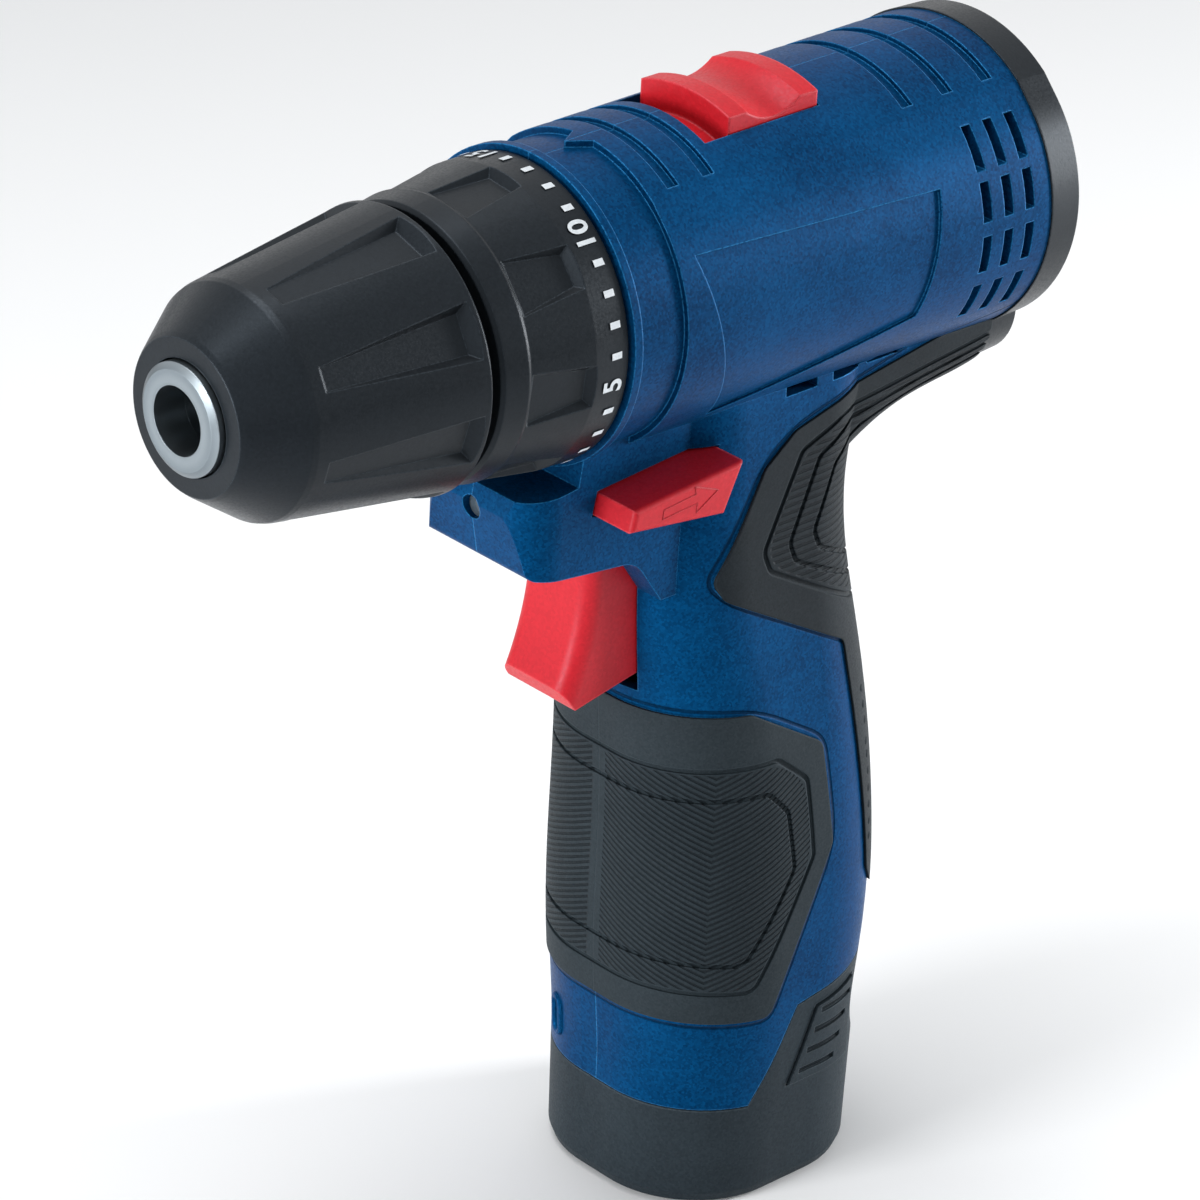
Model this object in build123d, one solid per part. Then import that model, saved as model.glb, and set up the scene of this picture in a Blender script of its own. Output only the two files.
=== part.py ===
from build123d import *
import os
from functools import cache
from math import acos, cos, degrees, pi, radians, sin, tan

# Cordless drill with a keyless chuck, a torque collar, a two-speed planetary gearbox and a slide-in battery.
# Millimetres. The chuck points along -X, +Z is up and the drill's left side is -Y.
# The origin is the centre of the battery's flat foot, on which the drill stands.

# Main lines of the drill
AXIS_HEIGHT = 169.0
HEAD_FRONT_X = -49.5
HEAD_LENGTH = 91.0
CAP_LENGTH = 10.0
# Rear cap's rim and its lobe below the motor, as (distance from the cap's back, inset)
CAP_RIM = ((CAP_LENGTH, -0.3), (3.6, 0.0), (1.2, 2.4), (0.0, 6.0))
CAP_LOBE = ((CAP_LENGTH, 0.0), (3.6, 0.4), (1.4, 3.0))
CAP_HOLLOW = ((15.0, 0.0), (3.6, 0.0), (2.2, 3.8))
CAP_SPIGOT = 2.4
CAP_SPIGOT_WALL = 1.6
CAP_SOCKET_END = 8.5
CAP_SOCKET_RADIUS = 7.2
WALL = 2.2
PARTING_GAP = 0.25

# Clearance of moving pieces, play of pieces laid in a seat, fit of pressed ones, and a reach past the flanks
SLIP = 0.3
PLAY = 0.1
FIT = 0.03
REACH = 40.0

# Head section, as (half width, height above the spindle axis)
HEAD_CREST = 25.6
RIDGE_TOP = (16.0, 20.0)
RIDGE_FOOT = (18.3, 17.5)
HEAD_SIDE = (25.1, 4.0)
HEAD_HIP = (20.6, -15.0)
HEAD_KEEL = 25.5
HEAD_FLARE = 0.04
FRONT_RIM_RADIUS = 25.8
FRONT_RIM_LENGTH = 1.6
FRONT_BAND_RADIUS = 24.6
FRONT_BAND_LENGTH = 11.3
FRONT_OPENING_RADIUS = 22.5
FRONT_WALL = 3.0
POINTER_LENGTH = 4.0
POINTER_WIDTH = 6.0

# Handle sections from the battery's seam up, as (height, centre x, length, width)
FOOT_STATION = (0.0, -0.2, 48.4, 45.2)
HANDLE_STATIONS = (
    (22.0, -0.2, 48.7, 46.6),
    (41.0, -0.7, 50.8, 47.4),
    (60.0, -1.0, 51.4, 47.5),
    (79.0, -2.2, 49.8, 45.4),
    (98.0, -4.6, 48.2, 41.0),
    (117.0, -7.3, 45.9, 37.2),
)
# Neck between handle and head, and the tail that runs from it below the motor, as (x, lowest z, width)
NECK_STATIONS = (
    (136.0, -7.0, 46.4, 35.0),
    (155.0, -6.6, 47.2, 33.4),
)
TAIL_STATIONS = (
    (6.0, 125.0, 31.0),
    (13.0, 129.4, 31.0),
    (20.0, 132.6, 31.0),
    (29.0, 134.8, 31.0),
    (HEAD_FRONT_X + HEAD_LENGTH, 136.4, 30.6),
)
TAIL_TOP_Z = 160.0
TAIL_CORNER = 11.0
HANDLE_ROUNDNESS = 0.42
# Rounding of the battery's lower edge, as (height, inset)
FOOT_EDGE = ((0.0, 2.0), (0.7, 0.7), (2.4, 0.0))

# Chin in front of the trigger
CHIN_OUTLINE = ((-58.6, 138.0), (-56.7, 128.0), (-35.2, 125.6), (-29.2, 117.0), (-18.0, 117.0),
                (-18.0, 152.0), (-47.0, 152.0), (-48.4, 142.6), (-58.0, 141.4))
CHIN_FRONT_X = -58.6
CHIN_REAR_X = -10.0
CHIN_WIDTH = 27.4
CHIN_CORNER = 7.0
CHIN_EDGE = 1.6
TRIGGER_ARCH = 6.0

# Soft grips and surface relief
GRIP_PROUD = 0.5
GRIP_DEPTH = 1.3
GRIP_CORNER = 2.5
FRONT_GRIP_OUTLINE = ((-45.0, 96.0), (-14.0, 94.2), (1.2, 85.0), (3.8, 66.0), (-8.4, 36.6), (-45.0, 37.6))
REAR_GRIP_OUTLINE = ((41.5, 150.0), (7.5, 144.4), (-4.9, 141.3), (-11.5, 136.6), (-21.4, 118.8),
                     (-19.2, 115.4), (7.4, 100.8), (9.6, 88.0), (15.0, 56.0), (18.5, 51.0), (45.0, 51.0),
                     (45.0, 150.0))
# Nested grooves pressed in the grips
CONTOUR_WIDTH = 0.9
FRONT_CONTOURS = (
    ((-45.0, 84.5), (-9.0, 85.0), (-2.4, 79.6), (-0.6, 65.0), (-12.0, 42.5), (-45.0, 44.0)),
    ((-45.0, 79.0), (-11.0, 79.5), (-6.8, 75.0), (-5.0, 64.0), (-14.0, 48.0), (-45.0, 50.0)),
)
REAR_CONTOURS = (
    ((45.0, 145.5), (6.0, 141.0), (-3.4, 137.6), (-11.6, 122.0), (-10.0, 118.2), (10.5, 107.0),
     (45.0, 92.0)),
    ((45.0, 143.6), (9.0, 139.2), (0.6, 135.6), (-5.8, 122.0), (-4.4, 118.4), (11.0, 110.8),
     (45.0, 95.0)),
    ((45.0, 141.6), (12.0, 137.0), (4.6, 133.0), (-0.4, 122.6), (1.0, 119.4), (9.5, 115.0),
     (45.0, 99.0)),
)
PANEL_OUTLINE = ((-34.6, 181.4), (17.6, 179.6), (14.0, 158.6), (-25.6, 150.2))
PANEL_DEPTH = 0.6
TOP_GROOVES_X = (-33.0, -25.5, 18.0, 27.0, 36.0)
TOP_GROOVE_DEPTH = 0.8
TOP_GROOVE_WIDTH = 2.4
TOP_GROOVE_MARGIN = 1.0
VENT_COLUMNS_X = (27.0, 31.8, 36.6)
VENT_ROWS_Z = (183.4, 175.4, 166.6, 157.6)
VENT_LENGTH = 6.4
VENT_WIDTH = 2.0
VENT_INNER_Y = 14.0
SLOT_X = (-7.0, 3.5, 12.5)
SLOT_Z = 147.6
SLOT_SIZE = (7.0, 1.8)

# Torque collar, as (distance from its front face, radius), its notches and its keyways
COLLAR_CLEARANCE = 0.3
COLLAR_LENGTH = 23.8
COLLAR_PROFILE = ((0.0, 22.0), (0.6, 22.6), (4.7, 23.3), (5.2, 23.1), (17.0, 24.8), (23.4, 24.9),
                  (23.8, 24.5))
COLLAR_FACE = 2.6
COLLAR_BORE = 20.2
COLLAR_NOTCHES = 8
COLLAR_NOTCH_PHASE = 96.2
NOTCH_SPAN = (5.9, 16.2)
NOTCH_FLOOR = (22.3, 23.2)
NOTCH_WIDTHS = (8.4, 5.2)
NOTCH_MOUTH = (2.4, 3.0)
KEYS = 3
KEYWAY_WIDTH = 4.0
KEYWAY_DEPTH = 0.9
KEYWAY_MARGIN = (3.1, 3.0)

# Chuck sleeve, as (distance from its front face, radius), and its flutes
CHUCK_GAP = 2.2
SLEEVE_LENGTH = 40.4
SLEEVE_PROFILE = ((0.0, 12.47), (0.7, 13.07), (8.8, 18.65), (9.8, 18.95), (39.8, 23.3), (40.4, 22.7))
SLEEVE_BORE = 19.0
SLEEVE_WAIST = 14.0
SLEEVE_RIM = 2.0
SLEEVE_STEP = 1.6
FLUTES = 8
FLUTE_PHASE = 106.5
FLUTE_SPAN = (12.0, 37.6)
FLUTE_WIDTHS = (3.6, 6.4)
FLUTE_DEPTHS = (0.3, 1.9)
FLUTE_MOUTH = (3.0, 3.4)

# Chuck body, nut, screw and jaws, from the sleeve's front face to the rear
NOSE_REACH = 1.7
NOSE_RADIUS = 8.97
NOSE_END = 3.6
NOSE_CHAMFER = (0.7, 1.0)
CHUCK_BORE_RADIUS = 5.5
CHUCK_BORE_LENGTH = 6.0
CHUCK_CHAMBER_RADIUS = 6.0
CHUCK_WAIST_RADIUS = 13.4
CHUCK_CONE = (14.6, 30.0)
CHUCK_BODY_RADIUS = 16.9
CHUCK_BODY_REAR = 39.6
CHUCK_SKIRT_REAR = 34.0
CHUCK_HUB_RADIUS = 8.6
CHUCK_JAWS = 3
POCKET_RADIUS = 7.6
POCKET_CIRCLE = 15.0
POCKET_START = 10.0
NUT_SPAN = (20.2, 24.8)
NUT_RADIUS = 15.6
NUT_BITE = 0.7
NUT_SPLIT = 0.1
CHUCK_SCREW_SEAT = 24.6
CHUCK_SCREW_HOLE = (2.75, 27.2)
CHUCK_SCREW_SHANK = (2.5, 37.0)
CHUCK_SCREW_HEAD = (4.0, 2.4)
CHUCK_SCREW_SOCKET = (2.0, 1.6)
JAW_ANGLE = 18.0
JAW_APEX = -2.0
JAW_RADIUS = 3.2
JAW_SPAN = (16.6, 37.6)
JAW_OPENING = 5.3
JAW_EDGE = 0.5

# Gear train, from the head's front face to the rear
MODULE = 0.65
SUN_TEETH = 18
PLANET_TEETH = 15
RING_TEETH = 48
PLANETS = 3
BACKLASH = 0.06
RING_BACKLASH = 0.16
PRESSURE_ANGLE = radians(20.0)
# Height above and depth below the pitch circle, in modules
GEAR_TEETH = (0.9, 1.15)
RING_SPACES = (1.2, 0.85)
PLANET_PIN_RADIUS = 1.5
CARRIER_RADIUS = 13.6
CARRIER_THICKNESS = 2.4
STAGE_1_FACE = 4.8
STAGE_2_FACE = 6.4
STAGE_3_FACE = 7.5
STAGE_GAP = 0.4
RING_RADIUS = 18.0
RING_1_LENGTH = 5.1
RING_3_LENGTH = 9.6
SHIFT_RING_LENGTH = 6.6
SHIFT_TRAVEL = 5.0
CASE_RADIUS = 20.4
CASE_BORE = 18.3
CASE_FLANGE = (0.3, 3.3)
CASE_RELIEF = 0.4
CASE_WEB_X = -4.0
CASE_NOSE_BORE = 8.0
CASE_WINDOW = 2.8
SHIFT_GROOVE = (2.2, 2.0)
SHIFT_GROOVE_DEPTH = 0.9
RING_3_LEAD = 1.5
PLATE_THICKNESS = 3.0
END_PLAY = 0.2
SPINDLE_RADIUS = 5.0
SPINDLE_STUB_RADIUS = 4.7
SPINDLE_STUB_LENGTH = 11.6
SPINDLE_SHOULDER = (2.2, 7.0)
CASE_NOSE_RADIUS = 13.4
CASE_NOSE_LENGTH = 23.5
BEARING_RADIUS = 9.5
BEARING_WIDTH = 5.0
CLUTCH_PINS = 6
CLUTCH_PIN_CIRCLE = 16.1
CLUTCH_PIN_RADIUS = 1.2
CLUTCH_PIN_REACH = 1.5
WASHER_THICKNESS = 1.2
WASHER_RADIUS = 18.6
CLUTCH_SPRING_LENGTH = 10.2
CLUTCH_SPRING_RADIUS = 16.6
CLUTCH_WIRE = 1.2
CLUTCH_NUT_LENGTH = 4.4
CLUTCH_NUT_RADIUS = 18.2

# Motor
MOTOR_RADIUS = 18.0
MOTOR_LENGTH = 48.0
MOTOR_WALL = 1.4
BELL_THICKNESS = 3.4
MOTOR_SHAFT_RADIUS = 1.6
ARMATURE_RADIUS = 13.4
ARMATURE_POLES = 5
ARMATURE_SPAN = (9.0, 35.0)
SLOT_CIRCLE = 8.4
SLOT_RADIUS = 2.6
WINDING_HEAD = 2.6
WINDING_RADIUS = 11.5
FLUX_RING_RADIUS = 19.2
FLUX_RING_SPAN = (9.0, 37.0)
FAN_BLADES = 9
MOTOR_BOSS_RADIUS = 5.2
BELL_SPIGOT = (4.0, 1.6)
BELL_BOSS = (6.0, 5.0)
MAGNET_SPAN = (7.0, 37.0)
MAGNET_GAP = 11.0
AIR_GAP = 0.5
SLOT_MOUTH = 2.4
COMMUTATOR_SPAN = (38.0, 45.0)
COMMUTATOR_RADIUS = 4.5
COMMUTATOR_CUT = (0.4, 0.9)
BRUSH_SPAN = (39.5, 43.5)
BRUSH_WIDTH = 3.0
FAN_SPAN = (2.4, 6.0)
FAN_HUB_RADIUS = 4.2
FAN_RADIUS = 14.5
FAN_DISC = 1.0
FAN_BLADE = 0.8

# Controls
TRIGGER_WIDTH = 16.0
TRIGGER_TRAVEL = 6.0
TRIGGER_TOP_Z = 126.4
TRIGGER_FOOT_Z = 98.6
TRIGGER_TOE = (2.2, 3.4)
TRIGGER_HEEL = 3.0
TRIGGER_FRONT = ((-39.8, TRIGGER_TOP_Z), (-40.6, 111.5), (-43.6, TRIGGER_FOOT_Z + TRIGGER_TOE[1]))
PLUNGER_Z = 114.5
PLUNGER_RADIUS = 3.0
PLUNGER_LENGTH = 14.0
SWITCH_LENGTH = 24.0
SWITCH_WIDTH = 22.0
SWITCH_TOP_Z = 122.0
CONTACTS_SIZE = (18.0, 16.0)
CONTACTS_GAP = 1.2
TRIGGER_BACK_X = -26.4
TRIGGER_EDGE = 3.0
DIRECTION_OUTLINE = ((-45.0, 136.9), (-44.2, 140.6), (-21.0, 142.6), (-24.7, 134.4))
DIRECTION_HALF_WIDTH = 16.4
DIRECTION_REACH = 6.0
DIRECTION_EDGE = 0.8
SELECTOR_SPAN = (32.8, 52.0)
SELECTOR_WIDTH = 20.0
SELECTOR_RIDGE = 3.8
SELECTOR_HEIGHT = 2.8
SELECTOR_VALLEY = 0.9
SELECTOR_APRON = 4.6
SELECTOR_PLATE = 1.5
SELECTOR_MARGIN = 0.8
SELECTOR_ARM = 9.0
FORK_PLAY = 0.2
FORK_TAB = 8.0
RIB_THICKNESS = 2.0
RIB_RADIUS = 30.0
CASE_RIBS_X = (8.0, 28.8)
MOTOR_RIBS = (5.0, 9.0)
SWITCH_RIBS = (3.0, 18.0)
SELECTOR_ROOM = 2.0
LED_RADIUS = 2.0
LED_SPAN = (1.6, 6.0)
LED_Z = 137.0

# Battery
SEAM_OUTLINE = ((-60.0, 19.0), (-10.5, 19.0), (-1.5, 36.0), (60.0, 46.0), (60.0, -10.0), (-60.0, -10.0))
CELL_RADIUS = 9.05
CELL_LENGTH = 65.0
CELL_FLOOR_Z = 8.0
CELL_PITCH = 18.2
CELL_ROW_X = -8.0
STEM_WALL = 0.8
STEM_FOOT_Z = 12.0
STEM_TOP_Z = 75.0
TOWER_SIZE = (18.0, 18.0)
TOWER_X = -1.0
TOWER_TOP_Z = 88.0
TERMINALS_X = (-7.0, -1.0, 5.0)
TERMINAL_BLADE = (0.6, 13.6)
TERMINAL_DEPTH = 4.8
TERMINAL_REACH = 1.0
LATCH_OUTLINE = ((-2.6, 20.4), (3.0, 34.6), (13.6, 36.2), (13.6, 20.4))
LATCH_GROOVES_Z = (22.8, 26.4, 30.0, 33.4)
LATCH_GROOVE_WIDTH = 1.1
LATCH_GROOVE_SPAN = (1.5, 10.0)
LATCH_THICKNESS = 2.6
LATCH_TRAVEL = 1.5

# Screws, as (x, z); each enters from the right half
SCREW_PLACES = ((0.0, 137.0), (9.6, 107.0), (-16.5, 87.0), (-48.3, 134.2))
SCREW_RADIUS = 1.2
SCREW_HEAD_RADIUS = 2.4
BOSS_RADIUS = 2.5
BOSS_WALL = 1.4
SCREW_SEAT_Y = 9.0
SCREW_TIP_Y = 5.8
SCREW_HEAD_HEIGHT = 2.0
SCREW_CROSS = (2.8, 0.7)
SCREW_CROSS_DEPTH = 0.8

# Places worked out from the sizes above
HEAD_REAR_X = HEAD_FRONT_X + HEAD_LENGTH
COLLAR_FRONT = -COLLAR_CLEARANCE - COLLAR_LENGTH
SLEEVE_FRONT_X = HEAD_FRONT_X + COLLAR_FRONT - CHUCK_GAP - SLEEVE_LENGTH
CHUCK_REAR = CHUCK_BODY_REAR - SLEEVE_LENGTH - CHUCK_GAP + COLLAR_FRONT
CHUCK_PLACE = Pos(SLEEVE_FRONT_X, 0, AXIS_HEIGHT)
DRIVE_PLACE = Pos(HEAD_FRONT_X, 0, AXIS_HEIGHT)
PLANET_CIRCLE = MODULE * (SUN_TEETH + PLANET_TEETH) / 2
FLANGE_3_X = CASE_FLANGE[1] + STAGE_GAP
PLANETS_3_X = FLANGE_3_X + CARRIER_THICKNESS + STAGE_GAP
RING_3_X = PLANETS_3_X - RING_3_LEAD
CARRIER_2_X = PLANETS_3_X + STAGE_3_FACE + 2 * STAGE_GAP
PLANETS_2_X = CARRIER_2_X + CARRIER_THICKNESS + STAGE_GAP
CARRIER_1_X = PLANETS_2_X + STAGE_2_FACE + 2 * STAGE_GAP
PLANETS_1_X = CARRIER_1_X + CARRIER_THICKNESS + STAGE_GAP
RING_1_X = PLANETS_1_X
CASE_REAR = RING_1_X + RING_1_LENGTH + END_PLAY / 2
SHIFT_RING_X = RING_1_X - STAGE_GAP - SHIFT_RING_LENGTH
SHIFT_GROOVE_X = SHIFT_RING_X + SHIFT_GROOVE[0]
MOTOR_X = CASE_REAR + PLATE_THICKNESS
MOTOR_REAR = MOTOR_X + MOTOR_LENGTH
STEM_RADIUS = CELL_RADIUS + PLAY + STEM_WALL
SWITCH_X = TRIGGER_BACK_X + TRIGGER_TRAVEL + SLIP
SWITCH_FOOT_Z = TRIGGER_FOOT_Z + 2 * SLIP

parts = {}


def turned(*outline):
    """Solid turned about the X axis from an outline of (x, radius) points."""
    return revolve(Plane.XZ * make_face(Polyline(*outline, close=True)), Axis.X)


def tube(start, end, inner, outer):
    return turned((start, inner), (end, inner), (end, outer), (start, outer))


def rod(start, end, radius):
    return Pos((start + end) / 2, 0, 0) * Rot(0, 90, 0) * Cylinder(radius, end - start)


def prism(outline, left=-REACH, right=REACH):
    """Side-view outline of (x, z) points carried across from y = left to y = right."""
    face = Plane.XZ.offset(-right) * make_face(Polyline(*outline, close=True))
    return extrude(face, amount=right - left)


def block(x_span, y_span, z_span):
    centre = [(low + high) / 2 for low, high in (x_span, y_span, z_span)]
    size = [high - low for low, high in (x_span, y_span, z_span)]
    return Pos(*centre) * Box(*size)


def around(solid, copies, phase=0.0):
    """Copies of a solid spread round the X axis."""
    return [Rot(phase + index * 360 / copies, 0, 0) * solid for index in range(copies)]


def head_section(x, inset):
    """Egg-shaped head section with a bevelled ridge on each shoulder, drawn in by the inset."""
    flare = 1 + HEAD_FLARE * (x - HEAD_FRONT_X) / HEAD_LENGTH
    scale_by = flare * (1 - inset / HEAD_CREST)
    crest, keel = (0, HEAD_CREST * scale_by), (0, -HEAD_KEEL * scale_by)
    corners = (RIDGE_TOP, RIDGE_FOOT, HEAD_SIDE, HEAD_HIP)
    top, foot, side, hip = [(y * scale_by, z * scale_by) for y, z in corners]
    top_m, foot_m, side_m, hip_m = [(-y, z) for y, z in (top, foot, side, hip)]
    edges = [
        ThreePointArc(top_m, crest, top),
        Line(top, foot),
        ThreePointArc(foot, side, hip),
        ThreePointArc(hip, keel, hip_m),
        ThreePointArc(hip_m, side_m, foot_m),
        Line(foot_m, top_m),
    ]
    return Plane.YZ.offset(x) * make_face(edges)


@cache
def head_solid(start, end, inset):
    return Pos(0, 0, AXIS_HEIGHT) * loft([head_section(start, inset), head_section(end, inset)])


def handle_section(station, inset):
    height, centre, length, width = station
    corner = HANDLE_ROUNDNESS * width - inset
    return Pos(centre, 0, height) * RectangleRounded(length - 2 * inset, width - 2 * inset, corner)


@cache
def handle_solid(inset):
    """Swelling handle with its neck, on a battery foot with a rounded lower edge."""
    solid = loft([handle_section(station, inset) for station in HANDLE_STATIONS + NECK_STATIONS])
    edge = [handle_section((height,) + FOOT_STATION[1:], inset + draw) for height, draw in FOOT_EDGE]
    for lower, upper in zip(edge, edge[1:] + [handle_section(HANDLE_STATIONS[0], inset)]):
        solid = solid + loft([lower, upper])
    return solid


def tail_section(station, inset):
    x, lowest, width = station
    height = TAIL_TOP_Z - lowest - 2 * inset
    middle = (TAIL_TOP_Z + lowest) / 2
    outline = RectangleRounded(width - 2 * inset, height, TAIL_CORNER - inset)
    return Plane(origin=(x, 0, middle), x_dir=(0, 1, 0), z_dir=(1, 0, 0)) * outline


@cache
def grip_solid(inset):
    """Handle together with the tail below the motor."""
    return handle_solid(inset) + loft([tail_section(station, inset) for station in TAIL_STATIONS])


def chin_solid(inset):
    """Chin: its side outline, arched over the trigger, crossed with a round-nosed plan."""
    outline = make_face(Polyline(*CHIN_OUTLINE, close=True))
    arch = outline.vertices().sort_by_distance((CHIN_OUTLINE[2][0], CHIN_OUTLINE[2][1], 0))[0]
    outline = fillet(arch, TRIGGER_ARCH)
    front = outline.vertices().sort_by_distance((CHIN_OUTLINE[1][0], CHIN_OUTLINE[1][1], 0))[0]
    outline = fillet(front, CHIN_EDGE)
    if inset:
        outline = offset(outline, -inset, kind=Kind.INTERSECTION)
    half = CHIN_WIDTH / 2 - inset
    side = extrude(Plane.XZ * outline, amount=half, both=True)
    length = CHIN_REAR_X - CHIN_FRONT_X - 2 * inset
    plan = RectangleRounded(length, 2 * half, CHIN_CORNER - inset)
    centre = (CHIN_FRONT_X + CHIN_REAR_X) / 2
    heights = [z for x, z in CHIN_OUTLINE]
    return side & extrude(Pos(centre, 0, min(heights) - 1) * plan, amount=max(heights) - min(heights) + 2)


def rounded_outline(outline):
    """Side-view outline whose corners over the drill's flank are rounded; those out of reach stay sharp."""
    face = make_face(Polyline(*outline, close=True))
    corners = [vertex for vertex in face.vertices() if abs(vertex.X) < REACH]
    return fillet(corners, GRIP_CORNER)


def flank_prism(face):
    """Side-view face carried right across the drill."""
    return extrude(Plane.XZ * face, amount=REACH, both=True)


def contour_grooves(outlines):
    """Narrow grooves along side-view outlines, as deep as the grips stand proud."""
    half = CONTOUR_WIDTH / 2
    rings = []
    for outline in outlines:
        face = rounded_outline(outline)
        outside = offset(face, half, kind=Kind.INTERSECTION)
        rings.append(flank_prism(outside) - flank_prism(offset(face, -half)))
    return Part() + rings - grip_solid(0.0)


def cell_places():
    """Two cells abreast and one nested behind them."""
    behind = CELL_ROW_X + CELL_PITCH * cos(radians(30))
    return ((CELL_ROW_X, -CELL_PITCH / 2), (CELL_ROW_X, CELL_PITCH / 2), (behind, 0.0))


def stem_solid(radius, bottom, top):
    """Clover-shaped stem round the three cells."""
    places = cell_places()
    core = extrude(Pos(0, 0, bottom) * make_face(Polyline(*places, close=True)), amount=top - bottom)
    lobes = [Pos(x, y, (bottom + top) / 2) * Cylinder(radius, top - bottom) for x, y in places]
    return core + lobes


def involute(angle):
    return tan(angle) - angle


def tooth_outline(teeth, addendum, dedendum, thicken, phase):
    """Closed outline of straight-flanked teeth whose corners lie on true involutes."""
    pitch = MODULE * teeth / 2
    base = pitch * cos(PRESSURE_ANGLE)
    outline = []
    for index in range(teeth):
        centre = phase + 2 * pi * index / teeth
        for radius, side in ((pitch - dedendum, -1), (pitch + addendum, -1), (pitch + addendum, 1),
                             (pitch - dedendum, 1)):
            roll = involute(PRESSURE_ANGLE) - involute(acos(min(1.0, base / radius)))
            half = pi / (2 * teeth) + thicken / (2 * pitch) + roll
            outline.append((radius * cos(centre + side * half), radius * sin(centre + side * half)))
    return make_face(Polyline(*outline, close=True))


def spur(teeth, start, width, phase=0.0):
    above, below = GEAR_TEETH
    outline = tooth_outline(teeth, above * MODULE, below * MODULE, -BACKLASH, phase)
    return extrude(Plane.YZ.offset(start) * outline, amount=width)


def ring_gear(start, length):
    """Internal gear: its tooth spaces are the outline of a slightly fatter outside gear."""
    above, below = RING_SPACES
    spaces = tooth_outline(RING_TEETH, above * MODULE, below * MODULE, RING_BACKLASH, ring_phase())
    bore = extrude(Plane.YZ.offset(start) * spaces, amount=length)
    return rod(start, start + length, RING_RADIUS) - bore


def planet_angle(index):
    return 2 * pi * index / PLANETS + pi / 2


def planet_phase(index):
    """Turn that sets the planet's tooth spaces on the sun's teeth."""
    place = planet_angle(index)
    return place + pi - (pi - SUN_TEETH * place) / PLANET_TEETH


def ring_phase():
    place = planet_angle(0)
    return place - PLANET_TEETH * (place - planet_phase(0)) / RING_TEETH


def planet_place(index):
    place = planet_angle(index)
    return Pos(0, PLANET_CIRCLE * cos(place), PLANET_CIRCLE * sin(place))


def planet(index, start, width):
    gear = spur(PLANET_TEETH, start, width, planet_phase(index))
    bore = rod(start, start + width, PLANET_PIN_RADIUS + FIT)
    return DRIVE_PLACE * planet_place(index) * (gear - bore)


def carrier(start, face):
    """Carrier disc with the three pins that its planets turn on."""
    disc = rod(start, start + CARRIER_THICKNESS, CARRIER_RADIUS)
    tip = start + CARRIER_THICKNESS + face + 1.5 * STAGE_GAP
    pins = [planet_place(index) * rod(start, tip, PLANET_PIN_RADIUS) for index in range(PLANETS)]
    return disc + pins


def sleeve_radius(x):
    (start, start_radius), (end, end_radius) = SLEEVE_PROFILE[3:5]
    return start_radius + (end_radius - start_radius) * (x - start) / (end - start)


def recess_cutter(span, floor, widths, mouth):
    """Tapering trough over the X axis: a sloping floor whose bevelled walls spread out to the mouth."""
    (start, end), (floor_start, floor_end), (spread, height) = span, floor, mouth
    tilt = degrees((floor_end - floor_start) / (end - start))
    front, rear = widths[0] / 2, widths[1] / 2
    floor_outline = ((start, -front), (end, -rear), (end, rear), (start, front))
    mouth_outline = ((start - spread, -front - spread), (end + spread, -rear - spread),
                     (end + spread, rear + spread), (start - spread, front + spread))
    floor_face = make_face(Polyline(*floor_outline, close=True))
    mouth_face = Pos(0, 0, height) * make_face(Polyline(*mouth_outline, close=True))
    trough = loft([floor_face, mouth_face], ruled=True)
    middle = (start + end) / 2
    return Pos(middle, 0, (floor_start + floor_end) / 2) * Rot(0, -tilt, 0) * Pos(-middle, 0, 0) * trough


def jaw_line(x):
    """Distance of a jaw's centre line from the axis."""
    return (x - JAW_APEX) * tan(radians(JAW_ANGLE))


def jaw_rod(start, end, radius):
    """Rod along a jaw's slanting centre line, above the axis, between two stations on the axis."""
    slant = 1 / cos(radians(JAW_ANGLE))
    straight = rod((start - JAW_APEX) * slant, (end - JAW_APEX) * slant, radius)
    return Pos(JAW_APEX, 0, 0) * Rot(0, -JAW_ANGLE, 0) * straight


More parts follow.
